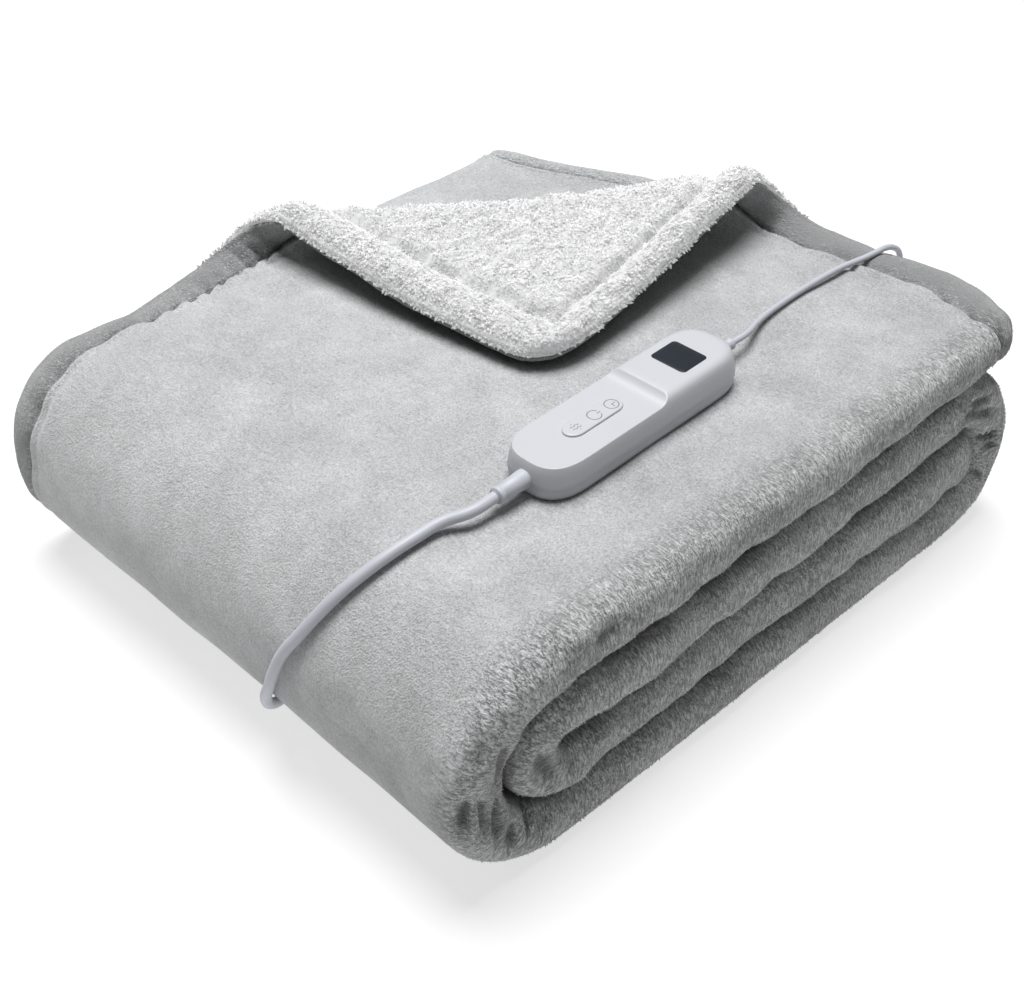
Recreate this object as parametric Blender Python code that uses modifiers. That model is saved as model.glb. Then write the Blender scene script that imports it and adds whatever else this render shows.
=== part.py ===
"""A heated throw, folded into a flat stack, with its handset and its leads.

The throw is two panels sewn together at the hem: a short plush face and a curly sherpa back. It is
letter-folded in three plies to a strip, and the strip is wound flat into four runs, one on another.
One corner of the top ply is rolled back, so that the sherpa shows. The handset lies on the top run.
Metres, +Z up. The origin is at the middle of the footprint, on the surface that the stack lies on.
X runs along the stack's front edge and Y along its left edge, both away from the near corner.
"""

import math

import bmesh
import bpy
from mathutils import Matrix, Vector

# ---- cloth ------------------------------------------------------------------------------------
FACE_THICK = 0.0032
BACK_THICK = 0.0065
PANEL_GAP = 0.0003
PLY_PITCH = 0.0115
RUN_PITCH = 0.0348

STACK_LENGTH = 0.437
STACK_WIDTH = 0.377
TOP_END_X = 0.211
HEM_Y = 0.184
INNER_FOLD_Y = 0.181
PLY2_END_Y = -0.158
TIP_X = 0.176
MID_TURN_X = -0.1475
MID_TURN_RADIUS = 0.0190
MID_TURN_SQUEEZE = 0.93
MID_TURN_REACH = 0.075

FOLD_FULLNESS = 2.5

CLOTH_THICK = FACE_THICK + PANEL_GAP + BACK_THICK
STRIP_THICK = 2 * PLY_PITCH + CLOTH_THICK
Z_BOTTOM = STRIP_THICK / 2
Z_TOP = Z_BOTTOM + 3 * RUN_PITCH
STACK_TOP = Z_TOP + STRIP_THICK / 2
BIG_TURN_RADIUS = 1.5 * RUN_PITCH
BIG_TURN_X = -STACK_LENGTH / 2 + BIG_TURN_RADIUS + STRIP_THICK / 2
RIGHT_TURN_X = STACK_LENGTH / 2 - RUN_PITCH - STRIP_THICK / 2
OUTER_FOLD_Y = -STACK_WIDTH / 2 + STRIP_THICK / 2
INNER_TURN_Y = INNER_FOLD_Y - PLY_PITCH / 2 - CLOTH_THICK / 2

# The middle of the bulged stack's footprint, which becomes the origin.
CENTRE = Vector((0.0020, -0.0033, 0.0))

# ---- the rolled-back corner ---------------------------------------------------------------------
ROLL_AXIS_DEG = -38.0
ROLL_START = 0.0880
ROLL_RADIUS = 0.0140
ROLL_MIDDLE = -0.010
ROLL_FLARE = 0.012
ROLL_SAG = 0.20
FLAP_SLOPE = 0.125
FLAP_DRIFT = 0.30
CORNER_RADIUS = 0.030
ROLL_CELLS = ((0.0, 0.300), (0.0, 0.060), (0.006, 0.044))
PULL_IN = 0.047
PULL_FROM_Y = 0.045

# ---- handset ------------------------------------------------------------------------------------
HAND_LENGTH = 0.148
HAND_WIDTH = 0.042
HAND_HEIGHT = 0.0225
PANEL_HEIGHT = 0.0188
BASE_HEIGHT = 0.0070
HAND_X = -0.0223
HAND_Y = -0.0994
HAND_TURN = math.radians(1.7)
HAND_LIFT = 0.0005
STEP_X = 0.008
WINDOW_SIZE = (0.0200, 0.0225, 0.0012)
WINDOW_X = 0.0405
PAD_LENGTH = 0.040
PAD_WIDTH = 0.0115
PAD_X = -0.0250
GLAND_HEIGHT = 0.0090
GLAND_POCKET = 0.0040
GLAND_RADIUS = 0.0050
MAINS_GLAND_LENGTH = 0.0225
LEAD_GLAND_LENGTH = 0.0155
LEAD_GLAND_SCALE = 0.72
PIECE_GAP = 0.0003

# ---- leads --------------------------------------------------------------------------------------
CORD_D = 0.0060
LEAD_D = 0.0036
CORD_SIDES = 2
CORD_STEP = 0.0125
CORD_Z = STACK_TOP + CORD_D / 2 + 0.0010
LEAD_Z = STACK_TOP + LEAD_D / 2 + 0.0010
FLOOR_Z = CORD_D / 2 + 0.0006
COIL_X = -0.020
COIL_Y = 0.2390
COIL_RADIUS = 0.0330
COIL_WIDTH = 0.0185
COIL_HEIGHT = 0.0165
COIL_LIFT = 0.0018
TIE_STRAP = 0.0012
TIE_WIDTH = 0.0110
PLUG_X = 0.090
PLUG_Y = 0.2095
PLUG_Z = 0.0078
BODY_LENGTH = 0.0300
SLEEVE_LENGTH = 0.0200
PIN_LENGTH = 0.0190
PIN_SPACING = 0.0190

# Parts of the throw's length, from the top run's end hem: how many cells each takes.
TURNS = (
    # name, cells
    ("top run", 5),
    ("big turn", 8),
    ("bottom run", 4),
    ("right turn", 6),
    ("third run", 4),
    ("middle turn", 6),
    ("second run", 4),
)

# How many cells a ply's width and the two folds between the plies take.
PLY_CELLS = 4
OUTER_FOLD_CELLS = 6
INNER_FOLD_CELLS = 4
EDGE_CELL = 0.006

# Soft bulges and dents of the stack. Each moves what is within reach of its place.
BULGES = (
    # x, y, z, reach_x, reach_y, reach_z, move_x, move_y, move_z
    (-0.200, -0.188, 0.025, 0.060, 0.060, 0.045, -0.001, 0.002, 0.000),
    (-0.215, 0.150, 0.050, 0.060, 0.090, 0.060, -0.002, 0.002, 0.000),
    (-0.135, 0.185, 0.137, 0.055, 0.040, 0.030, 0.000, -0.007, -0.006),
    (-0.095, -0.188, 0.086, 0.045, 0.040, 0.020, 0.000, -0.0045, 0.001),
    (-0.020, -0.188, 0.052, 0.050, 0.040, 0.018, 0.000, 0.004, 0.001),
    (0.070, -0.188, 0.086, 0.050, 0.040, 0.020, 0.000, 0.003, 0.000),
    (0.120, -0.188, 0.052, 0.040, 0.040, 0.018, 0.000, -0.002, 0.001),
    (0.190, -0.190, 0.090, 0.090, 0.070, 0.040, 0.000, 0.000, 0.010),
    (0.211, -0.125, 0.130, 0.045, 0.045, 0.040, 0.012, 0.000, 0.000),
    (0.195, 0.000, 0.165, 0.040, 0.050, 0.030, -0.010, -0.004, 0.000),
    (0.215, -0.190, 0.125, 0.035, 0.030, 0.040, -0.010, 0.003, 0.002),
    (0.218, -0.160, 0.048, 0.050, 0.120, 0.050, 0.006, 0.000, 0.000),
    (-0.120, 0.090, 0.139, 0.070, 0.080, 0.050, 0.000, 0.000, 0.002),
    (-0.190, 0.030, 0.120, 0.060, 0.080, 0.050, -0.001, 0.000, -0.002),
    (-0.140, -0.165, 0.139, 0.060, 0.060, 0.040, 0.000, 0.000, 0.001),
)


def fresh_scene():
    for thing in list(bpy.data.objects):
        bpy.data.objects.remove(thing, do_unlink=True)
    for mesh in list(bpy.data.meshes):
        bpy.data.meshes.remove(mesh)


def collection(name):
    made = bpy.data.collections.new(name)
    bpy.context.scene.collection.children.link(made)
    return made


def material(name, colour, roughness, metallic=0.0):
    made = bpy.data.materials.new(name)
    made.use_nodes = True
    shader = made.node_tree.nodes["Principled BSDF"]
    shader.inputs["Base Color"].default_value = (*colour, 1.0)
    shader.inputs["Roughness"].default_value = roughness
    shader.inputs["Metallic"].default_value = metallic
    return made


def linked(name, mesh, look, group):
    piece = bpy.data.objects.new(name, mesh)
    piece.data.materials.append(look)
    group.objects.link(piece)
    return piece


def smooth(value):
    held = min(max(value, 0.0), 1.0)
    return held * held * (3 - 2 * held)


# ---- the strip's path in X and Z, and the folded section in Y -----------------------------------


def turn_lengths():
    return {
        "top run": TOP_END_X - BIG_TURN_X,
        "big turn": math.pi * BIG_TURN_RADIUS,
        "bottom run": RIGHT_TURN_X - BIG_TURN_X,
        "right turn": math.pi * RUN_PITCH,
        "third run": RIGHT_TURN_X - MID_TURN_X,
        "middle turn": math.pi * MID_TURN_RADIUS,
        "second run": TIP_X - MID_TURN_X,
    }


def ply_lengths():
    return {
        "first ply": HEM_Y - OUTER_FOLD_Y,
        "outer fold": math.pi * PLY_PITCH,
        "third ply": INNER_TURN_Y - OUTER_FOLD_Y,
        "inner fold": math.pi * PLY_PITCH / 2,
        "second ply": INNER_TURN_Y - PLY2_END_Y,
    }


TURN_LENGTH = turn_lengths()
PLY_LENGTH = ply_lengths()


def stretch_at(distance, lengths):
    """The named stretch that a distance falls in, and how far along that stretch it is."""
    for name, length in lengths.items():
        if distance <= length:
            return name, distance
        distance -= length
    return name, distance + length


def strip_at(along):
    """The strip's middle in X and Z, its outward normal, and how far its plies are squeezed."""
    name, part = stretch_at(along, TURN_LENGTH)
    mid = Z_BOTTOM + 1.5 * RUN_PITCH
    near_turn = 0.0
    if name == "third run":
        near_turn = 1 - smooth((TURN_LENGTH[name] - part) / MID_TURN_REACH)
    if name == "second run":
        near_turn = 1 - smooth(part / MID_TURN_REACH)
    spread = RUN_PITCH / 2 + (MID_TURN_RADIUS - RUN_PITCH / 2) * near_turn
    squeeze = 1 - (1 - MID_TURN_SQUEEZE) * near_turn
    if name == "top run":
        return (TOP_END_X - part, Z_TOP), (0.0, 1.0), 1.0
    if name == "big turn":
        angle = part / BIG_TURN_RADIUS
        normal = (-math.sin(angle), math.cos(angle))
        return (BIG_TURN_X + BIG_TURN_RADIUS * normal[0], mid + BIG_TURN_RADIUS * normal[1]), normal, 1.0
    if name == "bottom run":
        return (BIG_TURN_X + part, Z_BOTTOM), (0.0, -1.0), 1.0
    if name == "right turn":
        angle = part / RUN_PITCH
        normal = (math.sin(angle), -math.cos(angle))
        middle = Z_BOTTOM + RUN_PITCH
        return (RIGHT_TURN_X + RUN_PITCH * normal[0], middle + RUN_PITCH * normal[1]), normal, 1.0
    if name == "third run":
        return (RIGHT_TURN_X - part, mid + spread), (0.0, 1.0), squeeze
    if name == "middle turn":
        angle = part / MID_TURN_RADIUS
        normal = (-math.sin(angle), math.cos(angle))
        centre = (MID_TURN_X + MID_TURN_RADIUS * normal[0], mid + MID_TURN_RADIUS * normal[1])
        return centre, normal, MID_TURN_SQUEEZE
    return (MID_TURN_X + part, mid - spread), (0.0, -1.0), squeeze


def full(share):
    """A sine or cosine, filled out so that a round fold presses flatter against its neighbours."""
    return math.copysign(abs(share) ** (2 / FOLD_FULLNESS), share)


def section_at(across, height):
    """A point of the folded cloth in Y and through the strip. Its height is above the cloth's middle."""
    name, part = stretch_at(across, PLY_LENGTH)
    if name == "first ply":
        return HEM_Y - part, PLY_PITCH + height
    if name == "outer fold":
        angle = part / PLY_PITCH
        radius = PLY_PITCH + height
        return OUTER_FOLD_Y - radius * full(math.sin(angle)), radius * full(math.cos(angle))
    if name == "third ply":
        return OUTER_FOLD_Y + part, -PLY_PITCH - height
    if name == "inner fold":
        angle = part / (PLY_PITCH / 2)
        radius = PLY_PITCH / 2 + height
        return INNER_TURN_Y + radius * math.sin(angle), -PLY_PITCH / 2 - radius * math.cos(angle)
    return INNER_TURN_Y - part, height


# ---- the rolled-back corner ---------------------------------------------------------------------


def rounded_corner(x, y):
    """The top ply's corner, drawn in from a square to a quarter round."""
    in_x = (TOP_END_X - x) / CORNER_RADIUS
    in_y = (HEM_Y - y) / CORNER_RADIUS
    if in_x >= 1 or in_y >= 1:
        return x, y
    p, q = 1 - in_x, 1 - in_y
    round_p = p * math.sqrt(1 - q * q / 2)
    round_q = q * math.sqrt(1 - p * p / 2)
    return TOP_END_X - CORNER_RADIUS * (1 - round_p), HEM_Y - CORNER_RADIUS * (1 - round_q)


def roll_place(x, y):
    """How far along the roll, and how far past its start, a point of the flat top ply lies."""
    axis = math.radians(ROLL_AXIS_DEG)
    beside = x * math.cos(axis) + y * math.sin(axis)
    past = -x * math.sin(axis) + y * math.cos(axis) - ROLL_START
    return beside, past


def rolled(x, y, height):
    """A point of the top ply, rolled back over itself past the roll's start."""
    beside, past = roll_place(x, y)
    middle = Z_TOP + PLY_PITCH
    if past <= 0:
        return Vector((x, y, middle + height))
    off_middle = beside - ROLL_MIDDLE
    radius = ROLL_RADIUS + ROLL_FLARE * off_middle + ROLL_SAG * off_middle ** 2
    round_length = radius * (math.pi + FLAP_SLOPE)
    angle = min(past, round_length) / radius
    beyond = max(past - round_length, 0.0)
    normal = (-math.sin(angle), math.cos(angle))
    out = radius * math.sin(angle) + beyond * math.cos(angle) + height * normal[0]
    up = radius * (1 - math.cos(angle)) + beyond * math.sin(angle) + height * normal[1]
    lowest = CLOTH_THICK + 0.0022 + height * normal[1]
    if beyond > 0:
        up = max(up, lowest)
    beside -= FLAP_DRIFT * beyond
    axis = math.radians(ROLL_AXIS_DEG)
    return Vector((
        beside * math.cos(axis) - (ROLL_START + out) * math.sin(axis),
        beside * math.sin(axis) + (ROLL_START + out) * math.cos(axis),
        middle + up,
    ))


# ---- every point of the throw -------------------------------------------------------------------


def bulged(point):
    """The soft unevenness of the stack. What lies on the surface stays flat on it."""
    moved = point.copy()
    held = smooth(point.z / 0.020)
    for x, y, z, reach_x, reach_y, reach_z, move_x, move_y, move_z in BULGES:
        far = ((point.x - x) / reach_x) ** 2 + ((point.y - y) / reach_y) ** 2
        far += ((point.z - z) / reach_z) ** 2
        share = math.exp(-far)
        moved += share * Vector((move_x, move_y, move_z * held))
    return moved


def throw_point(along, across, depth):
    """A point of the folded throw: along its length, across its width, and below its face."""
    height = CLOTH_THICK / 2 - depth
    y, through = section_at(across, height)
    (x, z), (normal_x, normal_z), squeeze = strip_at(along)
    ply, _ = stretch_at(across, PLY_LENGTH)
    turn, _ = stretch_at(along, TURN_LENGTH)
    if ply == "first ply" and turn == "top run":
        return bulged(rolled(*rounded_corner(x, y), height))
    through *= squeeze
    x += normal_x * through
    if turn == "top run" and ply != "outer fold":
        share = smooth((y - PULL_FROM_Y) / (INNER_FOLD_Y - PULL_FROM_Y))
        x -= PULL_IN * share * smooth((x - 0.03) / (TOP_END_X - 0.03)) ** 2
    return bulged(Vector((x, y, z + normal_z * through)))


def rows():
    """Where the cells' edges lie along the throw, with a narrow cell at each raw edge."""
    found = [0.0]
    start = 0.0
    for name, cells in TURNS:
        found += [start + TURN_LENGTH[name] * step / cells for step in range(1, cells + 1)]
        start += TURN_LENGTH[name]
    return sorted([*found, EDGE_CELL, start - EDGE_CELL])


def columns():
    """Where the cells' edges lie across the throw. The three plies share the same places in Y."""
    whole = sum(PLY_LENGTH.values())
    third_start = PLY_LENGTH["first ply"] + PLY_LENGTH["outer fold"]
    inner_start = third_start + PLY_LENGTH["third ply"]
    second_start = inner_start + PLY_LENGTH["inner fold"]
    cell = PLY_LENGTH["first ply"] / PLY_CELLS
    found = [0.0, EDGE_CELL, PLY_LENGTH["first ply"], third_start, inner_start, second_start]
    for step in range(1, PLY_CELLS):
        y = HEM_Y - cell * step
        found += [cell * step, third_start + y - OUTER_FOLD_Y, second_start + INNER_TURN_Y - y]
    for step in range(1, OUTER_FOLD_CELLS):
        found.append(PLY_LENGTH["first ply"] + PLY_LENGTH["outer fold"] * step / OUTER_FOLD_CELLS)
    for step in range(1, INNER_FOLD_CELLS):
        found.append(inner_start + PLY_LENGTH["inner fold"] * step / INNER_FOLD_CELLS)
    return sorted([*found, whole - EDGE_CELL, whole])


def cloth_plan():
    """The cells of the whole cloth, laid flat: along its length by across its width.

    They are finer where the corner rolls, and both panels share them, so that their faces stay parallel.
    """
    plan = bmesh.new()
    grid = [[plan.verts.new((along, across, 0.0)) for across in columns()] for along in rows()]
    for row, following in zip(grid, grid[1:]):
        for k in range(len(row) - 1):
            plan.faces.new((row[k], following[k], following[k + 1], row[k + 1]))
    for before, after in ROLL_CELLS:
        edges = {edge for face in plan.faces if rolls(face, before, after) for edge in face.edges}
        bmesh.ops.subdivide_edges(plan, edges=list(edges), cuts=1, use_grid_fill=True)
    bmesh.ops.triangulate(plan, faces=plan.faces[:], quad_method="ALTERNATE")
    return plan


def rolls(face, before, after):
    """Whether a cell of the flat cloth lies in the part of the top ply that rolls."""
    middle = face.calc_center_median()
    ply, _ = stretch_at(middle.y, PLY_LENGTH)
    turn, part = stretch_at(middle.x, TURN_LENGTH)
    if ply != "first ply" or turn != "top run":
        return False
    reach = [roll_place(TOP_END_X - corner.co.x, HEM_Y - corner.co.y)[1] for corner in face.verts]
    return max(reach) > before and min(reach) < after


def panel_point(along, across, depth):
    """A panel's point. Towards the sewn edge the two panels are pressed thinner together."""
    to_edge = min(along, sum(TURN_LENGTH.values()) - along, across, sum(PLY_LENGTH.values()) - across)
    pinch = 1 - smooth(to_edge / EDGE_CELL)
    if depth == 0.0:
        depth += 0.30 * FACE_THICK * pinch
    elif depth == CLOTH_THICK:
        depth -= 0.35 * BACK_THICK * pinch
    return throw_point(along, across, depth)


def panel(name, top_depth, under_depth, look, group):
    """One cut panel, folded with the throw: its two sides, closed round its raw edges."""
    plan = cloth_plan()
    plan.verts.index_update()
    made = bmesh.new()
    over = [made.verts.new(panel_point(v.co.x, v.co.y, top_depth)) for v in plan.verts]
    under = [made.verts.new(panel_point(v.co.x, v.co.y, under_depth)) for v in plan.verts]
    for face in plan.faces:
        corners = [v.index for v in face.verts]
        made.faces.new([over[i] for i in corners])
        made.faces.new([under[i] for i in reversed(corners)])
    for edge in plan.edges:
        if edge.is_boundary:
            loop = edge.link_loops[0]
            a, b = loop.vert.index, loop.link_loop_next.vert.index
            made.faces.new((over[b], over[a], under[a], under[b]))
    bmesh.ops.triangulate(made, faces=[face for face in made.faces if len(face.verts) > 3])
    bmesh.ops.recalc_face_normals(made, faces=made.faces)
    mesh = bpy.data.meshes.new(name)
    made.to_mesh(mesh)
    made.free()
    plan.free()
    mesh.shade_smooth()
    return linked(name, mesh, look, group)


# ---- handset ------------------------------------------------------------------------------------


def long_oval(length, width, steps=12, power=2.7):
    """The outline of a long box with full round ends, as points round it."""
    reach = width * 0.62
    straight = length / 2 - reach
    points = []
    for side, first in ((1, -90), (-1, 90)):
        for step in range(steps + 1):
            angle = math.radians(first + 180 * step / steps)
            cos, sin = abs(math.cos(angle)), math.sin(angle)
            x = side * (straight + reach * cos ** (2 / power))
            y = width / 2 * math.copysign(abs(sin) ** (2 / power), sin)
            points.append((x, y))
    return points


def lofted(name, rings, look, group, place):
    """A solid of outlines one above another. Each ring is (height, outline)."""
    made = bmesh.new()
    levels = [[made.verts.new((x, y, height)) for x, y in outline] for height, outline in rings]
    for lower, upper in zip(levels, levels[1:]):
        for k, low in enumerate(lower):
            after = (k + 1) % len(lower)
            made.faces.new((low, lower[after], upper[after], upper[k]))
    made.faces.new(list(reversed(levels[0])))
    made.faces.new(levels[-1])
    bmesh.ops.remove_doubles(made, verts=made.verts, dist=0.00001)
    bmesh.ops.recalc_face_normals(made, faces=made.faces)
    mesh = bpy.data.meshes.new(name)
    made.to_mesh(mesh)
    made.free()
    piece = linked(name, mesh, look, group)
    piece.location = place
    return piece


def inset_rings(table, length, width):
    """Rings from a table of (height, inset)."""
    return [(height, long_oval(length - 2 * inset, width - 2 * inset)) for height, inset in table]


def cutter(name, mesh, group, place):
    tool = bpy.data.objects.new(name, mesh)
    tool.location = place
    tool.hide_render = True
    tool.display_type = "WIRE"
    group.objects.link(tool)
    return tool


def cut(piece, tool):
    step = piece.modifiers.new(tool.name, "BOOLEAN")
    step.operation = "DIFFERENCE"
    step.solver = "EXACT"
    step.object = tool


def block(name, size, bevel, segments=3):
    """A box mesh about the origin, its upright edges rounded."""
    made = bmesh.new()
    bmesh.ops.create_cube(made, size=1.0, matrix=Matrix.Diagonal((*size, 1.0)))
    upright = [e for e in made.edges if abs(e.verts[0].co.z - e.verts[1].co.z) > size[2] / 2]
    bmesh.ops.bevel(made, geom=upright, offset=bevel, segments=segments, profile=0.5, affect="EDGES")
    mesh = bpy.data.meshes.new(name)
    made.to_mesh(mesh)
    made.free()
    return mesh


def round_bar(name, radius, length):
    """A cylinder mesh along X about the origin."""
    made = bmesh.new()
    turn = Matrix.Rotation(math.pi / 2, 4, "Y")
    bmesh.ops.create_cone(
        made, cap_ends=True, segments=24, radius1=radius, radius2=radius, depth=length, matrix=turn
    )
    mesh = bpy.data.meshes.new(name)
    made.to_mesh(mesh)
    made.free()
    return mesh


def handset(looks, group, cutters):
    place = Vector((HAND_X, HAND_Y, STACK_TOP + HAND_LIFT))
    base_table = ((0.0, 0.0022), (0.0012, 0.0009), (BASE_HEIGHT, 0.0004))
    top_table = (
        (BASE_HEIGHT + PIECE_GAP, 0.0),
        (0.0150, 0.0007),
        (0.0195, 0.0021),
        (0.0215, 0.0036),
        (HAND_HEIGHT, 0.0060),
    )
    base = lofted("handset_base", inset_rings(base_table, HAND_LENGTH, HAND_WIDTH), looks["shell"], group, place)
    top = lofted("handset_top", inset_rings(top_table, HAND_LENGTH, HAND_WIDTH), looks["shell"], group, place)
    panel_length = HAND_LENGTH / 2 + STEP_X
    panel_block = block("panel_block", (panel_length + 0.02, HAND_WIDTH + 0.02, 0.02), 0.006, 4)
    panel_at = place + Vector((STEP_X - (panel_length + 0.02) / 2, 0.0, PANEL_HEIGHT + 0.010))
    cut(top, cutter("panel_cutter", panel_block, cutters, panel_at))
    window_at = place + Vector((WINDOW_X, 0.0, HAND_HEIGHT - WINDOW_SIZE[2] / 2 + 0.0001))
    pocket = [side + 2 * PIECE_GAP for side in WINDOW_SIZE[:2]] + [WINDOW_SIZE[2] + 2 * PIECE_GAP]
    cut(top, cutter("window_cutter", block("window_pocket", pocket, 0.0028), cutters, window_at))
    window = linked("display_window", block("display_window", WINDOW_SIZE, 0.0025), looks["window"], group)
    window.location = window_at
    pad_table = ((0.0, 0.0), (0.0007, 0.0), (0.0011, 0.0004))
    pad_rings = [(h, long_oval(PAD_LENGTH - 2 * i, PAD_WIDTH - 2 * i, 8, 2.0)) for h, i in pad_table]
    pad_at = place + Vector((PAD_X, 0.0, PANEL_HEIGHT + PIECE_GAP))
    lofted("button_pad", pad_rings, looks["shell"], group, pad_at)
    for end, side, scale in (("mains", -1, 1.0), ("lead", 1, LEAD_GLAND_SCALE)):
        bore = round_bar(f"{end}_gland_bore", GLAND_RADIUS * scale + PIECE_GAP, 0.020)
        edge = HAND_LENGTH / 2 - GLAND_POCKET + 0.010
        tool = cutter(f"{end}_gland_cutter", bore, cutters, place + Vector((side * edge, 0.0, GLAND_HEIGHT)))
        cut(base, tool)
        cut(top, tool)
    return place


def turned(name, profile, look, group, place, turn):
    """A solid turned about its own Z from (radius, height) points, then laid the way it is turned."""
    mesh = bpy.data.meshes.new(name)
    mesh.from_pydata([(r, 0.0, h) for r, h in profile], [(k, k + 1) for k in range(len(profile) - 1)], [])
    piece = linked(name, mesh, look, group)
    screw = piece.modifiers.new("turned", "SCREW")
    screw.steps = screw.render_steps = 14
    screw.use_merge_vertices = True
    screw.merge_threshold = 0.00002
    piece.location = place
    piece.rotation_euler = turn
    return piece


def gland(name, side, length, scale, looks, group, place):
    """A tapered sleeve with a ring joint, where a lead comes out of the handset."""
    shape = (
        # radius, distance back from the sleeve's end
        (0.0, 0.0),
        (0.0038, 0.0),
        (0.0046, 0.0007),
        (0.0047, 0.0030),
        (0.0041, 0.0038),
        (0.0045, length * 0.62),
        (GLAND_RADIUS, length - GLAND_POCKET),
        (GLAND_RADIUS, length),
        (0.0, length),
    )
    profile = [(radius * scale, length - back) for radius, back in shape]
    start = place + Vector((side * (HAND_LENGTH / 2 - GLAND_POCKET + PIECE_GAP), 0.0, GLAND_HEIGHT))
    turned(name, profile, looks["cord"], group, start, (0.0, side * math.pi / 2, 0.0))
    return start + Vector((side * length, 0.0, 0.0))


# ---- leads --------------------------------------------------------------------------------------


def smooth_route(points, spacing):
    """Evenly spaced points on a smooth curve through a route's own points."""
    route = [Vector(p) for p in points]
    padded = [route[0] * 2 - route[1], *route, route[-1] * 2 - route[-2]]
    fine = []
    for a, b, c, d in zip(padded, padded[1:], padded[2:], padded[3:]):
        knots = [0.0]
        for left, right in ((a, b), (b, c), (c, d)):
            knots.append(knots[-1] + math.sqrt((right - left).length))
        for step in range(12):
            t = knots[1] + (knots[2] - knots[1]) * step / 12
            fine.append(between(t, knots, (a, b, c, d)))
    fine.append(route[-1])
    lengths = [0.0]
    for p, q in zip(fine, fine[1:]):
        lengths.append(lengths[-1] + (q - p).length)
    count = max(3, round(lengths[-1] / spacing))
    even = []
    k = 0
    for step in range(count + 1):
        want = lengths[-1] * step / count
        while k < len(fine) - 2 and lengths[k + 1] < want:
            k += 1
        share = (want - lengths[k]) / max(lengths[k + 1] - lengths[k], 1e-9)
        even.append(fine[k].lerp(fine[k + 1], share))
    return even


def between(t, knots, corners):
    """The point at t of the centripetal curve through four corners."""
    level = list(corners)
    for width in (1, 2, 3):
        level = [
            level[k].lerp(level[k + 1], blend(t, knots, k, width)) for k in range(len(level) - 1)
        ]
    return level[0]


def blend(t, knots, k, width):
    """How far t is between the two knots that a step of the curve runs between."""
    low = knots[k] if width < 3 else knots[1]
    high = knots[k + width] if width < 3 else knots[2]
    return (t - low) / (high - low)


def tube(name, points, thick, look, group):
    curve = bpy.data.curves.new(name, "CURVE")
    curve.dimensions = "3D"
    curve.bevel_depth = thick / 2
    curve.bevel_resolution = CORD_SIDES
    curve.use_fill_caps = True
    line = curve.splines.new("POLY")
    line.points.add(len(points) - 1)
    for at, point in zip(line.points, points):
        at.co = (*point, 1.0)
    piece = bpy.data.objects.new(name, curve)
    piece.data.materials.append(look)
    group.objects.link(piece)
    return piece


def coil_rim(side):
    """Where a lead meets the coil's outside, running along X at the front of its turns."""
    outside = COIL_RADIUS + COIL_WIDTH / 2
    beside = COIL_RADIUS - CORD_D / 2
    return COIL_X + side * (math.sqrt(outside ** 2 - beside ** 2) + PIECE_GAP)


def hand_axis():
    """The way the handset points, from the mains lead's end to the other."""
    return Vector((math.cos(HAND_TURN), math.sin(HAND_TURN), 0.0))


def mains_route(start):
    """Along the top, round the big fold, under its bulge, and behind the stack to the coil."""
    on_fold = []
    reach = BIG_TURN_RADIUS + STRIP_THICK / 2 + CORD_D / 2 + 0.0012
    middle = STACK_TOP / 2
    for degrees, y in (
        (8, -0.0925),
        (20, -0.0900),
        (40, -0.0830),
        (61, -0.0735),
        (75, -0.0650),
        (90, -0.0585),
        (106, -0.0480),
        (122, -0.0380),
    ):
        angle = math.radians(degrees)
        on_fold.append((BIG_TURN_X - reach * math.sin(angle), y, middle + reach * math.cos(angle)))
    return [
        start,
        start - 0.012 * hand_axis() - Vector((0.0, 0.0, 0.0003)),
        (-0.1400, -0.0955, CORD_Z + 0.0022),
        *on_fold,
        (-0.1905, -0.0190, 0.0085),
        (-0.1820, 0.0080, FLOOR_Z),
        (-0.1805, 0.0500, FLOOR_Z),
        (-0.1810, 0.1000, FLOOR_Z),
        (-0.1835, 0.1450, FLOOR_Z),
        (-0.1840, 0.1800, FLOOR_Z),
        (-0.1690, 0.2040, FLOOR_Z),
        (-0.1250, 0.2105, FLOOR_Z),
        (-0.0850, 0.2062, PLUG_Z - 0.0020),
        (coil_rim(-1) - 0.0120, COIL_Y - COIL_RADIUS, PLUG_Z),
        (coil_rim(-1), COIL_Y - COIL_RADIUS, PLUG_Z),
    ]


def lead_route(start):
    """Along the top to the end hem, over it, and in under the top run."""
    return [
        start,
        start + 0.012 * hand_axis() - Vector((0.0, 0.0, 0.0003)),
        (0.0890, -0.0915, LEAD_Z + 0.0035),
        (0.1050, -0.0870, LEAD_Z + 0.0010),
        (0.1390, -0.0842, LEAD_Z),
        (0.1749, -0.0850, LEAD_Z),
        (0.1960, -0.0885, LEAD_Z),
        (0.2145, -0.0900, LEAD_Z - 0.0006),
        (0.2260, -0.0905, LEAD_Z - 0.0078),
        (0.2293, -0.0910, LEAD_Z - 0.0210),
        (0.2250, -0.0915, LEAD_Z - 0.0332),
        (0.2125, -0.0920, LEAD_Z - 0.0402),
        (0.2000, -0.0920, LEAD_Z - 0.0425),
    ]


def tail_route(end):
    """From the coil to the plug's sleeve, straight at both ends."""
    return [
        (coil_rim(1), COIL_Y - COIL_RADIUS, PLUG_Z),
        (coil_rim(1) + 0.0160, COIL_Y - COIL_RADIUS, PLUG_Z),
        end - Vector((0.0200, 0.0, 0.0)),
        end - Vector((0.0080, 0.0, 0.0)),
        end,
    ]


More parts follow.
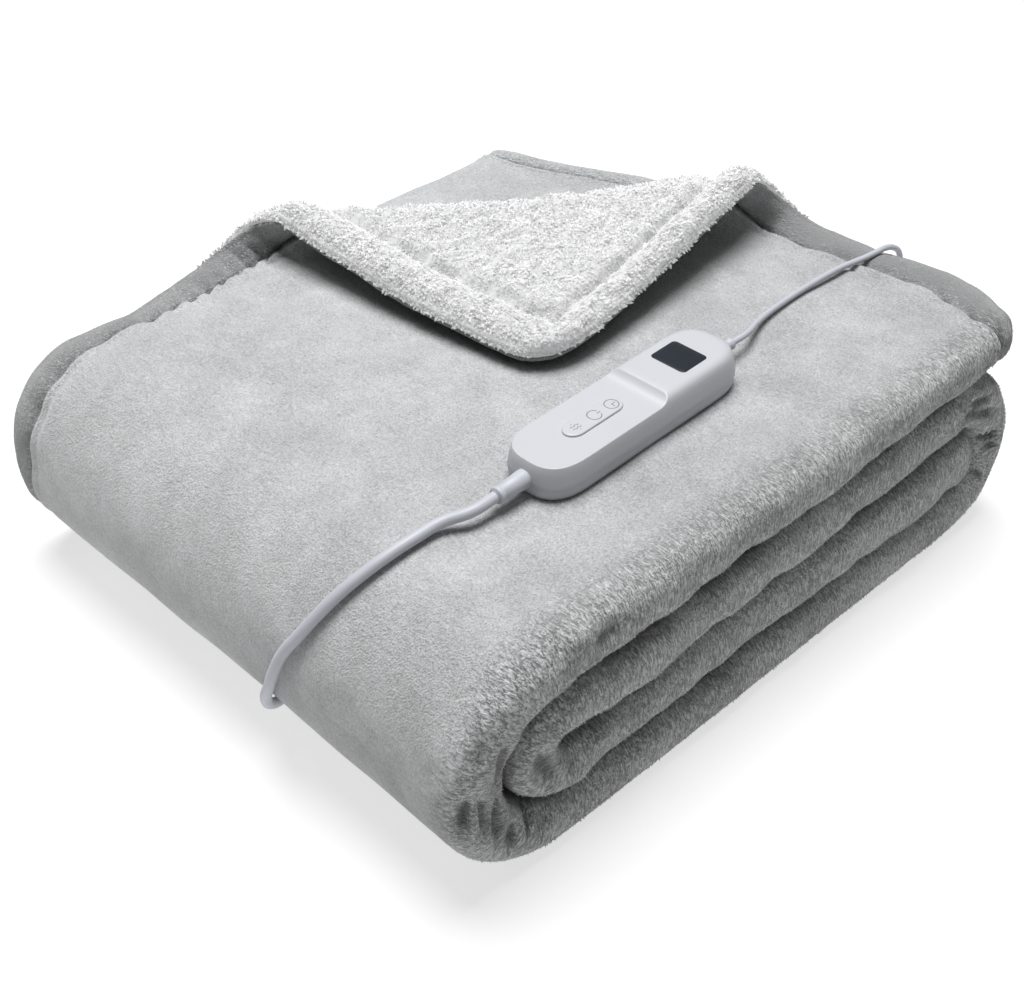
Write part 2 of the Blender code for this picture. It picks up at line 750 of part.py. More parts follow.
def coil(looks, group):
    """The outer shape of the wound lead: a turned ring."""
    inner = COIL_RADIUS - COIL_WIDTH / 2
    outer = COIL_RADIUS + COIL_WIDTH / 2
    edge = 0.0050
    made = []
    for cx, cz, first in (
        (outer - edge, COIL_HEIGHT - edge, 90),
        (outer - edge, edge, 0),
        (inner + edge, edge, -90),
        (inner + edge, COIL_HEIGHT - edge, -180),
    ):
        for step in range(4):
            angle = math.radians(first - 90 * step / 3)
            made.append((cx + edge * math.cos(angle), cz + edge * math.sin(angle)))
    made.append(made[0])
    ring = turned("mains_coil", made, looks["cord"], group, (COIL_X, COIL_Y, COIL_LIFT), (0.0, 0.0, 0.0))
    ring.modifiers["turned"].steps = ring.modifiers["turned"].render_steps = 28
    return ring


def tie(looks, group):
    """A short strap round the coil's bundle, on its far side."""
    made = bmesh.new()
    inside = (COIL_WIDTH + 0.0024, COIL_HEIGHT + 2 * PIECE_GAP)
    corners = []
    for grow in (0.0, TIE_STRAP):
        half_y, half_z, edge = inside[0] / 2 + grow, inside[1] / 2 + grow, 0.0048 + grow
        loop = []
        for sign_y, sign_z, first in ((1, 1, 0), (-1, 1, 90), (-1, -1, 180), (1, -1, 270)):
            for step in range(4):
                angle = math.radians(first + 90 * step / 3)
                y = sign_y * (half_y - edge) + edge * math.cos(angle)
                z = sign_z * (half_z - edge) + edge * math.sin(angle)
                loop.append((y, z))
        corners.append(loop)
    count = len(corners[0])
    ends = [
        [[made.verts.new((x, y, z)) for y, z in loop] for loop in corners]
        for x in (-TIE_WIDTH / 2, TIE_WIDTH / 2)
    ]
    for k in range(count):
        after = (k + 1) % count
        made.faces.new((ends[0][0][k], ends[0][0][after], ends[0][1][after], ends[0][1][k]))
        made.faces.new((ends[1][0][k], ends[1][1][k], ends[1][1][after], ends[1][0][after]))
        made.faces.new((ends[0][1][k], ends[0][1][after], ends[1][1][after], ends[1][1][k]))
        made.faces.new((ends[0][0][k], ends[1][0][k], ends[1][0][after], ends[0][0][after]))
    bmesh.ops.recalc_face_normals(made, faces=made.faces)
    mesh = bpy.data.meshes.new("coil_tie")
    made.to_mesh(mesh)
    made.free()
    piece = linked("coil_tie", mesh, looks["tie"], group)
    piece.location = (COIL_X, COIL_Y + COIL_RADIUS, COIL_LIFT + COIL_HEIGHT / 2)
    return piece


def plug(looks, group):
    """A flat two-pin plug, lying on the surface beside the coil, pins away from it."""
    place = Vector((PLUG_X, PLUG_Y, PLUG_Z))
    body_table = (
        # along, width, height
        (0.0, 0.0130, 0.0110),
        (0.0060, 0.0200, 0.0134),
        (0.0150, 0.0280, 0.0140),
        (BODY_LENGTH - 0.0010, 0.0350, 0.0140),
        (BODY_LENGTH, 0.0330, 0.0120),
    )
    rings = [(along, long_oval(width, height, 6, 2.6)) for along, width, height in body_table]
    body = lofted("plug_body", rings, looks["cord"], group, place)
    body.rotation_euler = (math.pi / 2, 0.0, math.pi / 2)
    for name, side in (("plug_pin_a", -1), ("plug_pin_b", 1)):
        profile = (
            (0.0, PIN_LENGTH),
            (0.0014, PIN_LENGTH),
            (0.0020, PIN_LENGTH - 0.0010),
            (0.0020, 0.0),
            (0.0, 0.0),
        )
        at = place + Vector((BODY_LENGTH + PIECE_GAP, side * PIN_SPACING / 2, 0.0))
        turned(name, profile, looks["pin"], group, at, (0.0, math.pi / 2, 0.0))
    sleeve = (
        (0.0, SLEEVE_LENGTH),
        (0.0048, SLEEVE_LENGTH),
        (0.0046, SLEEVE_LENGTH * 0.6),
        (0.0037, 0.0),
        (0.0, 0.0),
    )
    at = place - Vector((SLEEVE_LENGTH + PIECE_GAP, 0.0, 0.0))
    turned("plug_sleeve", sleeve, looks["cord"], group, at, (0.0, math.pi / 2, 0.0))
    return at


def main():
    fresh_scene()
    group = collection("heated_throw")
    cutters = collection("cutters")
    looks = {
        "face": material("plush_face", (0.50, 0.51, 0.52), 0.95),
        "back": material("sherpa_back", (0.86, 0.87, 0.88), 0.97),
        "shell": material("white_shell", (0.84, 0.86, 0.89), 0.32),
        "window": material("display_glass", (0.03, 0.04, 0.05), 0.12),
        "cord": material("white_cord", (0.80, 0.82, 0.86), 0.42),
        "tie": material("dark_strap", (0.05, 0.05, 0.055), 0.80),
        "pin": material("plated_pin", (0.78, 0.78, 0.76), 0.25, 1.0),
    }
    place = handset(looks, group, cutters)
    mains_end = gland("mains_gland", -1, MAINS_GLAND_LENGTH, 1.0, looks, group, place)
    lead_end = gland("lead_gland", 1, LEAD_GLAND_LENGTH, LEAD_GLAND_SCALE, looks, group, place)
    turn = Matrix.Rotation(HAND_TURN, 3, "Z")
    for thing in (*group.objects, *cutters.objects):
        thing.location = place + turn @ (thing.location - place)
        thing.rotation_euler.z = HAND_TURN
    mains_end, lead_end = (place + turn @ (end - place) for end in (mains_end, lead_end))
    panel("plush_panel", 0.0, FACE_THICK, looks["face"], group)
    panel("sherpa_panel", FACE_THICK + PANEL_GAP, CLOTH_THICK, looks["back"], group)
    meet = PIECE_GAP * hand_axis()
    mains_points = smooth_route(mains_route(mains_end - meet), CORD_STEP)
    tube("mains_lead", mains_points, CORD_D, looks["cord"], group)
    lead_points = smooth_route(lead_route(lead_end + meet), CORD_STEP / 2)
    tube("throw_lead", lead_points, LEAD_D, looks["cord"], group)
    coil(looks, group)
    tie(looks, group)
    plug_end = plug(looks, group)
    tail_points = smooth_route(tail_route(plug_end - Vector((PIECE_GAP, 0.0, 0.0))), CORD_STEP)
    tube("mains_tail", tail_points, CORD_D, looks["cord"], group)
    for thing in (*group.objects, *cutters.objects):
        thing.location -= CENTRE


main()
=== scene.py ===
"""Looks for the heated throw: its cloth, pile, hem, handset, leads and stage.

Built round the fixed frame, in metres, +Z up and in the frame's own axes. The throw is laid out
flat as (along, across): along its length from the top run's end hem, and across its width from
the hem at the stack's far side. Every cloth point is folded from there by the same rule as the
solids.
"""

import math

import bmesh
import bpy
import numpy as np
from bpy.props import FloatProperty, FloatVectorProperty, IntProperty, PointerProperty
from mathutils import Matrix, Vector, noise
from mathutils.bvhtree import BVHTree


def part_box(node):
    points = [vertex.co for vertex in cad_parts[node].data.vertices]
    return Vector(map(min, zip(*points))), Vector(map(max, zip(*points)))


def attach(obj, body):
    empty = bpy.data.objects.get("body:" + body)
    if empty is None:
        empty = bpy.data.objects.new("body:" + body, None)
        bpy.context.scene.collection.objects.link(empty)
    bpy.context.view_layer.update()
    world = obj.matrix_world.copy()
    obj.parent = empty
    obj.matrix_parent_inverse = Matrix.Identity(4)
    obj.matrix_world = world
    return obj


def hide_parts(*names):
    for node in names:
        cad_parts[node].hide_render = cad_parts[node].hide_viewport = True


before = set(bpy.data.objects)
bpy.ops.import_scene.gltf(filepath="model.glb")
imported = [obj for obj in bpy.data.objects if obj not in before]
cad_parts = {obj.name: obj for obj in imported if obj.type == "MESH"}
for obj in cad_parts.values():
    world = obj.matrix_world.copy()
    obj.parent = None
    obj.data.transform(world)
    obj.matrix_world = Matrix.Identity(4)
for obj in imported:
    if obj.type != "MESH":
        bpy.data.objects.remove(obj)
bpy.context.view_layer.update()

bl_info = {
    "name": "Folded heated throw",
    "version": (1, 0, 0),
    "blender": (4, 5, 0),
    "location": "3D View > Sidebar > Throw",
    "description": "Builds a folded heated throw with its handset, leads and stage",
    "category": "Object",
}


# ---- the fold, as the solids have it ---------------------------------------------------------
FACE_THICK = 0.0032
PANEL_GAP = 0.0003
BACK_THICK = 0.0065
PLY_PITCH = 0.0115
RUN_PITCH = 0.0348
STACK_LENGTH = 0.437
STACK_WIDTH = 0.377
TOP_END_X = 0.211
HEM_Y = 0.184
INNER_FOLD_Y = 0.181
PLY2_END_Y = -0.158
TIP_X = 0.176
MID_TURN_X = -0.1475
MID_TURN_RADIUS = 0.0190
MID_TURN_SQUEEZE = 0.93
MID_TURN_REACH = 0.075
FOLD_FULLNESS = 2.5
CLOTH_THICK = FACE_THICK + PANEL_GAP + BACK_THICK
STRIP_THICK = 2 * PLY_PITCH + CLOTH_THICK
Z_BOTTOM = STRIP_THICK / 2
Z_TOP = Z_BOTTOM + 3 * RUN_PITCH
STACK_TOP = Z_TOP + STRIP_THICK / 2
BIG_TURN_RADIUS = 1.5 * RUN_PITCH
BIG_TURN_X = -STACK_LENGTH / 2 + BIG_TURN_RADIUS + STRIP_THICK / 2
RIGHT_TURN_X = STACK_LENGTH / 2 - RUN_PITCH - STRIP_THICK / 2
OUTER_FOLD_Y = -STACK_WIDTH / 2 + STRIP_THICK / 2
INNER_TURN_Y = INNER_FOLD_Y - PLY_PITCH / 2 - CLOTH_THICK / 2
CENTRE = np.array([0.0020, -0.0033, 0.0])

ROLL_AXIS = math.radians(-38.0)
ROLL_START = 0.0880
ROLL_RADIUS = 0.0140
ROLL_MIDDLE = -0.010
ROLL_FLARE = 0.012
ROLL_SAG = 0.20
FLAP_SLOPE = 0.125
FLAP_DRIFT = 0.30
CORNER_RADIUS = 0.030
PULL_IN = 0.047
PULL_FROM_Y = 0.045
PULL_FROM_X = 0.03
# How far the flap's underside stays above the ply that it is rolled on to.
FLAP_CLEAR = 0.0022
# What lies lower than this is not bulged up or down.
FLAT_BELOW = 0.020

TURN_LENGTH = {
    "top run": TOP_END_X - BIG_TURN_X,
    "big turn": math.pi * BIG_TURN_RADIUS,
    "bottom run": RIGHT_TURN_X - BIG_TURN_X,
    "right turn": math.pi * RUN_PITCH,
    "third run": RIGHT_TURN_X - MID_TURN_X,
    "middle turn": math.pi * MID_TURN_RADIUS,
    "second run": TIP_X - MID_TURN_X,
}
PLY_LENGTH = {
    "first ply": HEM_Y - OUTER_FOLD_Y,
    "outer fold": math.pi * PLY_PITCH,
    "third ply": INNER_TURN_Y - OUTER_FOLD_Y,
    "inner fold": math.pi * PLY_PITCH / 2,
    "second ply": INNER_TURN_Y - PLY2_END_Y,
}
THROW_LENGTH = sum(TURN_LENGTH.values())
THROW_WIDTH = sum(PLY_LENGTH.values())

# Soft bulges and dents of the stack, as the solids have them.
BULGES = (
    # x, y, z, reach_x, reach_y, reach_z, move_x, move_y, move_z
    (-0.200, -0.188, 0.025, 0.060, 0.060, 0.045, -0.001, 0.002, 0.000),
    (-0.215, 0.150, 0.050, 0.060, 0.090, 0.060, -0.002, 0.002, 0.000),
    (-0.135, 0.185, 0.137, 0.055, 0.040, 0.030, 0.000, -0.007, -0.006),
    (-0.095, -0.188, 0.086, 0.045, 0.040, 0.020, 0.000, -0.0045, 0.001),
    (-0.020, -0.188, 0.052, 0.050, 0.040, 0.018, 0.000, 0.004, 0.001),
    (0.070, -0.188, 0.086, 0.050, 0.040, 0.020, 0.000, 0.003, 0.000),
    (0.120, -0.188, 0.052, 0.040, 0.040, 0.018, 0.000, -0.002, 0.001),
    (0.190, -0.190, 0.090, 0.090, 0.070, 0.040, 0.000, 0.000, 0.010),
    (0.211, -0.125, 0.130, 0.045, 0.045, 0.040, 0.012, 0.000, 0.000),
    (0.195, 0.000, 0.165, 0.040, 0.050, 0.030, -0.010, -0.004, 0.000),
    (0.215, -0.190, 0.125, 0.035, 0.030, 0.040, -0.010, 0.003, 0.002),
    (0.218, -0.160, 0.048, 0.050, 0.120, 0.050, 0.006, 0.000, 0.000),
    (-0.120, 0.090, 0.139, 0.070, 0.080, 0.050, 0.000, 0.000, 0.002),
    (-0.190, 0.030, 0.120, 0.060, 0.080, 0.050, -0.001, 0.000, -0.002),
    (-0.140, -0.165, 0.139, 0.060, 0.060, 0.040, 0.000, 0.000, 0.001),
)


def smooth(value):
    held = np.clip(value, 0.0, 1.0)
    return held * held * (3 - 2 * held)


def stretches(distance, lengths):
    """The named stretch that each distance falls in, and how far along that stretch it is."""
    sizes = np.array(list(lengths.values()))
    ends = np.cumsum(sizes)
    which = np.minimum(np.searchsorted(ends, distance), len(ends) - 1)
    return np.array(list(lengths))[which], distance - (ends - sizes)[which]


def strip_at(along):
    """The strip's middle in X and Z, its outward normal, and how far its plies are squeezed."""
    name, part = stretches(along, TURN_LENGTH)
    mid = Z_BOTTOM + 1.5 * RUN_PITCH
    third_left = TURN_LENGTH["third run"] - part
    near = np.select(
        [name == "third run", name == "middle turn", name == "second run"],
        [1 - smooth(third_left / MID_TURN_REACH), 1.0, 1 - smooth(part / MID_TURN_REACH)],
        0.0,
    )
    spread = RUN_PITCH / 2 + (MID_TURN_RADIUS - RUN_PITCH / 2) * near
    big, right, small = part / BIG_TURN_RADIUS, part / RUN_PITCH, part / MID_TURN_RADIUS
    runs = [name == turn for turn in TURN_LENGTH]
    zero, one = np.zeros_like(part), np.ones_like(part)
    sideways = [zero, -np.sin(big), zero, np.sin(right), zero, -np.sin(small), zero]
    upwards = [one, np.cos(big), -one, -np.cos(right), one, np.cos(small), -one]
    x = np.select(runs, [
        TOP_END_X - part, BIG_TURN_X - BIG_TURN_RADIUS * np.sin(big), BIG_TURN_X + part,
        RIGHT_TURN_X + RUN_PITCH * np.sin(right), RIGHT_TURN_X - part,
        MID_TURN_X - MID_TURN_RADIUS * np.sin(small), MID_TURN_X + part,
    ])
    z = np.select(runs, [
        Z_TOP + zero, mid + BIG_TURN_RADIUS * np.cos(big), Z_BOTTOM + zero,
        Z_BOTTOM + RUN_PITCH - RUN_PITCH * np.cos(right), mid + spread,
        mid + MID_TURN_RADIUS * np.cos(small), mid - spread,
    ])
    normal_x, normal_z = np.select(runs, sideways), np.select(runs, upwards)
    return name, x, z, normal_x, normal_z, 1 - (1 - MID_TURN_SQUEEZE) * near


def full(share):
    """A sine or cosine, filled out so that a round fold presses flatter against its neighbours."""
    return np.sign(share) * np.abs(share) ** (2 / FOLD_FULLNESS)


def section_at(across, height):
    """Points of the folded cloth in Y and through the strip, at a height above its middle."""
    name, part = stretches(across, PLY_LENGTH)
    folds = [name == ply for ply in PLY_LENGTH]
    outer, inner = part / PLY_PITCH, part / (PLY_PITCH / 2)
    y = np.select(folds, [
        HEM_Y - part, OUTER_FOLD_Y - (PLY_PITCH + height) * full(np.sin(outer)),
        OUTER_FOLD_Y + part, INNER_TURN_Y + (PLY_PITCH / 2 + height) * np.sin(inner),
        INNER_TURN_Y - part,
    ])
    through = np.select(folds, [
        PLY_PITCH + height, (PLY_PITCH + height) * full(np.cos(outer)), -PLY_PITCH - height,
        -PLY_PITCH / 2 - (PLY_PITCH / 2 + height) * np.cos(inner), height,
    ])
    return name, y, through


def rounded_corner(x, y):
    """The top ply's corner, drawn in from a square to a quarter round."""
    p = np.clip(1 - (TOP_END_X - x) / CORNER_RADIUS, 0.0, None)
    q = np.clip(1 - (HEM_Y - y) / CORNER_RADIUS, 0.0, None)
    inside = (p > 0) & (q > 0)
    round_x = TOP_END_X - CORNER_RADIUS * (1 - p * np.sqrt(np.clip(1 - q * q / 2, 0, 1)))
    round_y = HEM_Y - CORNER_RADIUS * (1 - q * np.sqrt(np.clip(1 - p * p / 2, 0, 1)))
    return np.where(inside, round_x, x), np.where(inside, round_y, y)


def roll_place(x, y):
    """Where a place of the top ply lies beside the roll's middle, and how far past its start."""
    beside = x * math.cos(ROLL_AXIS) + y * math.sin(ROLL_AXIS)
    past = -x * math.sin(ROLL_AXIS) + y * math.cos(ROLL_AXIS) - ROLL_START
    return beside, past


def rolled(x, y, height):
    """Points of the top ply, rolled back over itself past the roll's start."""
    beside, past = roll_place(x, y)
    off_middle = beside - ROLL_MIDDLE
    radius = ROLL_RADIUS + ROLL_FLARE * off_middle + ROLL_SAG * off_middle ** 2
    round_length = radius * (math.pi + FLAP_SLOPE)
    angle = np.clip(past, 0.0, round_length) / radius
    beyond = np.clip(past - round_length, 0.0, None)
    out = radius * np.sin(angle) + beyond * np.cos(angle) - height * np.sin(angle)
    up = radius * (1 - np.cos(angle)) + beyond * np.sin(angle) + height * np.cos(angle)
    lowest = CLOTH_THICK + FLAP_CLEAR + height * np.cos(angle)
    up = np.where(beyond > 0, np.maximum(up, lowest), up)
    out += np.minimum(past, 0.0)
    beside = beside - FLAP_DRIFT * beyond
    return np.stack([
        beside * math.cos(ROLL_AXIS) - (ROLL_START + out) * math.sin(ROLL_AXIS),
        beside * math.sin(ROLL_AXIS) + (ROLL_START + out) * math.cos(ROLL_AXIS),
        Z_TOP + PLY_PITCH + up,
    ], -1)


def bulged(points):
    """The soft unevenness of the stack. What lies on the surface stays flat on it."""
    moved = points.copy()
    held = smooth(points[..., 2] / FLAT_BELOW)
    for row in BULGES:
        far = (((points - row[:3]) / row[3:6]) ** 2).sum(-1)
        share = np.exp(-far)
        moved[..., 0] += share * row[6]
        moved[..., 1] += share * row[7]
        moved[..., 2] += share * row[8] * held
    return moved


def folded(along, across, depth):
    """Points of the folded throw: along its length, across its width, and below its face."""
    height = CLOTH_THICK / 2 - depth
    ply, y, through = section_at(across, height)
    turn, x, z, normal_x, normal_z, squeeze = strip_at(along)
    top = turn == "top run"
    free = top & (ply == "first ply")
    share = smooth((y - PULL_FROM_Y) / (INNER_FOLD_Y - PULL_FROM_Y))
    pull = PULL_IN * share * smooth((x - PULL_FROM_X) / (TOP_END_X - PULL_FROM_X)) ** 2
    in_x = x + normal_x * through * squeeze - np.where(top & (ply != "outer fold"), pull, 0.0)
    laid = np.stack([in_x, y, z + normal_z * through * squeeze], -1)
    back = rolled(*rounded_corner(x, y), height)
    return bulged(np.where(free[..., None], back, laid)) - CENTRE


# ---- hem, creases and unevenness -------------------------------------------------------------
# Creases pressed into the stack, as segments in the frame. A negative depth is a ridge.
CREASES = (
    # x0, y0, z0, x1, y1, z1, width, depth
    (-0.2013, -0.1793, 0.1109, -0.2091, -0.1822, 0.0938, 0.0035, 0.0030),
    (-0.1935, -0.1840, 0.1040, -0.1925, -0.1840, 0.0700, 0.0050, 0.0050),
    (-0.2138, -0.1806, 0.0820, -0.2153, -0.1790, 0.0560, 0.0036, 0.0052),
    (-0.2083, -0.1836, 0.0800, -0.2034, -0.1831, 0.0440, 0.0030, 0.0050),
    (-0.2110, -0.1815, 0.0780, -0.2095, -0.1810, 0.0500, 0.0022, -0.0022),
    (-0.1959, -0.1832, 0.0740, -0.1958, -0.1828, 0.0300, 0.0034, 0.0056),
    (-0.1745, -0.1689, 0.0410, -0.1771, -0.1836, 0.0200, 0.0030, 0.0050),
    (-0.1860, -0.1820, 0.0450, -0.1880, -0.1830, 0.0200, 0.0030, 0.0046),
    (-0.1650, -0.1836, 0.0360, -0.1690, -0.1836, 0.0180, 0.0034, 0.0034),
    (-0.1691, -0.1846, 0.0771, -0.1630, -0.1836, 0.0510, 0.0055, 0.0044),
    (-0.1560, -0.1790, 0.1338, -0.1400, -0.1820, 0.1320, 0.0060, -0.0030),
    (-0.1410, -0.1846, 0.1225, -0.1180, -0.1838, 0.1290, 0.0050, 0.0040),
    (-0.2159, -0.1031, 0.0923, -0.2201, -0.1147, 0.0712, 0.0060, 0.0015),
    (-0.2201, -0.1404, 0.0716, -0.2174, -0.1427, 0.0507, 0.0040, 0.0016),
    (-0.2156, -0.1638, 0.0937, -0.2192, -0.1631, 0.0763, 0.0050, 0.0016),
    (0.1640, -0.1840, 0.0990, 0.1880, -0.1836, 0.0951, 0.0028, 0.0050),
    (0.1566, -0.1847, 0.0946, 0.2010, -0.1846, 0.0774, 0.0030, 0.0066),
    (0.1872, -0.1786, 0.0640, 0.2090, -0.1846, 0.0575, 0.0034, 0.0072),
    (0.1902, -0.1793, 0.0548, 0.2100, -0.1840, 0.0500, 0.0028, 0.0052),
    (0.1862, -0.1792, 0.0422, 0.2030, -0.1839, 0.0273, 0.0028, 0.0046),
    (-0.1460, -0.187, 0.0690, -0.1530, -0.187, 0.0440, 0.0040, 0.0036),
    (-0.1080, -0.187, 0.0690, -0.1020, -0.187, 0.0470, 0.0060, 0.0036),
    (-0.1300, -0.187, 0.0690, -0.1330, -0.187, 0.0520, 0.0050, -0.0014),
    (-0.1700, -0.184, 0.0850, -0.1740, -0.184, 0.0620, 0.0034, 0.0026),
    (-0.1620, -0.184, 0.0960, -0.1640, -0.184, 0.0850, 0.0040, 0.0018),
    (-0.0500, -0.187, 0.0690, -0.0440, -0.187, 0.0480, 0.0070, 0.0024),
    (0.0200, -0.187, 0.0690, 0.0260, -0.187, 0.0500, 0.0080, 0.0020),
    (-0.0700, -0.187, 0.1030, -0.0660, -0.187, 0.0860, 0.0090, 0.0016),
    (0.0400, -0.187, 0.1030, 0.0480, -0.187, 0.0880, 0.0080, 0.0016),
    (0.1450, -0.120, 0.1370, 0.1950, -0.165, 0.1340, 0.0120, 0.0016),
    (0.1300, -0.040, 0.1370, 0.1900, -0.110, 0.1370, 0.0160, 0.0016),
    (-0.1300, -0.020, 0.1370, -0.1800, -0.100, 0.1200, 0.0180, 0.0018),
    (-0.2050, 0.020, 0.1100, -0.2180, -0.060, 0.0600, 0.0160, 0.0020),
    (-0.1980, 0.110, 0.1120, -0.2190, 0.060, 0.0500, 0.0140, 0.0018),
)
HEM_WIDTH = 0.024
# The hem's cross-section: where each swelling or groove lies, its reach, and how far it stands out.
HEM_FACE = (
    # in_from_edge, reach, stands_out
    (0.0120, 0.0080, 0.0026),
    (0.0235, 0.0018, -0.0040),
    (0.0272, 0.0018, 0.0014),
    (0.0308, 0.0018, -0.0010),
    (0.0350, 0.0040, 0.0006),
)
HEM_BACK = (
    # in_from_edge, reach, stands_out
    (0.0110, 0.0085, 0.0034),
    (0.0245, 0.0032, -0.0042),
    (0.0330, 0.0050, 0.0010),
)
# Puckers where the stitching gathers the hem: which edge, where along it, how wide and how deep.
PUCKERS = (
    # edge, at, width, depth
    ("side", 0.250, 0.0036, 0.0034),
    ("side", 0.261, 0.0034, 0.0042),
    ("side", 0.272, 0.0030, 0.0048),
    ("side", 0.283, 0.0038, 0.0050),
    ("side", 0.294, 0.0032, 0.0044),
    ("side", 0.304, 0.0036, 0.0050),
    ("side", 0.316, 0.0042, 0.0044),
    ("side", 0.329, 0.0040, 0.0034),
    ("side", 0.344, 0.0052, 0.0036),
    ("side", 0.372, 0.0060, 0.0028),
    ("side", 0.394, 0.0050, 0.0022),
    ("side", 0.412, 0.0064, 0.0020),
    ("side", 0.437, 0.0080, 0.0022),
    ("side", 0.470, 0.0060, 0.0018),
    ("side", 0.505, 0.0070, 0.0022),
    ("end", 0.205, 0.0060, 0.0024),
    ("end", 0.236, 0.0080, 0.0022),
    ("end", 0.268, 0.0070, 0.0018),
    ("end", 0.300, 0.0080, 0.0020),
    ("end", 0.327, 0.0060, 0.0022),
    ("end", 0.352, 0.0060, 0.0020),
)
# How a crease tapers to its ends, how far it reaches through the cloth, and where that fades.
CREASE_TAPER = 1.25
CREASE_THROUGH = 0.010
CREASE_FADE = 0.003
# Where the hem's stitching gathers the cloth: in from the edge, and how far to each side of it.
GATHER_AT = 0.021
GATHER_REACH = 0.013
# How far the laid cloth slumps at its side and at its end, and over what width.
SLUMPS = ((0.0042, 0.022), (0.0026, 0.020))
SLUMP_FADE = 0.030
# The cloth's own unevenness, all over, by the hem and on the front: height, size, seed, octaves.
UNEVEN = ((0.0012, 0.070, 1, 2), (0.0011, 0.016, 2, 1), (0.0024, 0.026, 3, 2))
HEM_FADE = 0.02
FRONT_Y = -0.189
FRONT_REACH = 0.016
FLOOR_CLEAR = 0.004
FLOOR_FADE = 0.020
# How far each panel's showing side is drawn in where the two are sewn together.
FACE_PINCH = 0.0012
BACK_PINCH = 0.0018
PINCH_REACH = 0.007
# Where the pile parts: ahead of the outer fold, over what width, and what it fades over past it.
PARTS_AHEAD = 0.016
PARTS_OVER = 0.028
PARTS_FADE = 0.02
# How far in the hem's roundness reaches, what it fades over, and how far its pile is parted.
HEM_ROUND = 0.020
HEM_ROUND_FADE = 0.008
HEM_PARTED = 0.4


def noise_at(points, scale, seed, octaves=1):
    """Smooth noise at many points, from about -1 to 1."""
    shift = Vector((seed * 7.13, seed * 3.77, seed * 1.93))
    found = np.zeros(len(points))
    for octave in range(octaves):
        fine = scale / 2 ** octave
        found += np.array([noise.noise(Vector(p) / fine + shift) for p in points]) / 2 ** octave
    return found


def swell(distance, reach):
    """A soft swelling: 1 in its middle, and next to nothing two reaches away."""
    return np.exp(-((distance / reach) ** 2))


def swellings(inward, table):
    height = np.zeros_like(inward)
    for at, reach, out in table:
        height += out * swell(inward - at, reach)
    return height


def past_roll(along, across):
    """How far past the roll's start a place on the flat cloth lies."""
    return roll_place(TOP_END_X - along, HEM_Y - across)[1]


def creased(points, normal):
    """How far the pressed-in creases move the cloth along its normal."""
    move = np.zeros(len(points))
    for *ends, width, depth in CREASES:
        start, end = np.reshape(ends, (2, 3))
        run = end - start
        share = ((points - start) @ run) / (run @ run)
        off = points - (start + np.clip(share, 0, 1)[:, None] * run)
        above = (off * normal).sum(1)
        far = np.linalg.norm(off - above[:, None] * normal, axis=1)
        taper = smooth(CREASE_TAPER - np.abs(2 * share - 1))
        taper *= smooth((CREASE_THROUGH - np.abs(above)) / CREASE_FADE)
        move -= depth * taper * swell(far, width)
    return move


def pressed(along, across, points, normal):
    """How far puckers, creases and unevenness move the whole cloth along its face's normal."""
    move = creased(points, normal)
    for edge, at, width, depth in PUCKERS:
        beside, inward = (along, across) if edge == "side" else (across, along)
        move -= depth * swell(inward - GATHER_AT, GATHER_REACH) * swell(beside - at, width)
    laid = 1 - smooth((past_roll(along, across) + SLUMP_FADE) / SLUMP_FADE)
    for inward, (drop, width) in zip((across, along), SLUMPS):
        move -= drop * laid * smooth(1 - inward / width)
    flat = np.stack([along, across, np.zeros_like(along)], -1)
    near_hem = 1 - smooth((np.minimum(along, across) - HEM_WIDTH) / HEM_FADE)
    on_front = swell(points[:, 1] - FRONT_Y, FRONT_REACH)
    for where, (height, size, seed, octaves) in zip((1.0, near_hem, on_front), UNEVEN):
        move += height * where * noise_at(flat, size, seed, octaves)
    held = smooth((points[:, 2] - FLOOR_CLEAR) / FLOOR_FADE)
    return np.maximum(move * held, -np.maximum(points[:, 2], 0.0))


def marks(*stretch_steps):
    """Cell edges from pairs of (where a stretch ends, its cell size)."""
    found = [0.0]
    for end, step in stretch_steps:
        cells = max(1, round((end - found[-1]) / step))
        start = found[-1]
        found += [start + (end - start) * k / cells for k in range(1, cells + 1)]
    return np.array(found)


RUN_ENDS = np.cumsum(list(TURN_LENGTH.values()))
PLY_ENDS = np.cumsum(list(PLY_LENGTH.values()))
# Cells are small where the cloth shows or bends, and large where it lies hidden.
FACE_ROWS = marks(
    (0.036, 0.0018), (RUN_ENDS[0], 0.0033), (RUN_ENDS[0] + 0.090, 0.0027),
    (RUN_ENDS[1] + 0.045, 0.0016), (RUN_ENDS[2], 0.0052), (RUN_ENDS[3], 0.0020),
    (RUN_ENDS[4] - 0.050, 0.0052), (RUN_ENDS[5], 0.0025), (RUN_ENDS[6], 0.0060),
)
FACE_COLUMNS = marks(
    (0.036, 0.0018), (0.325, 0.0050), (PLY_ENDS[0], 0.0026), (PLY_ENDS[1], 0.0015),
    (PLY_ENDS[1] + 0.02, 0.0028), (PLY_ENDS[2], 0.0160), (PLY_ENDS[3], 0.0030),
    (PLY_ENDS[3] + 0.10, 0.0090), (PLY_ENDS[4], 0.0180),
)
BACK_ROWS = marks(
    (0.310, 0.0016), (RUN_ENDS[0], 0.0050), (RUN_ENDS[1], 0.0080), (RUN_ENDS[2], 0.0200),
    (RUN_ENDS[3], 0.0070), (RUN_ENDS[4], 0.0200), (RUN_ENDS[5], 0.0080), (RUN_ENDS[6], 0.0200),
)
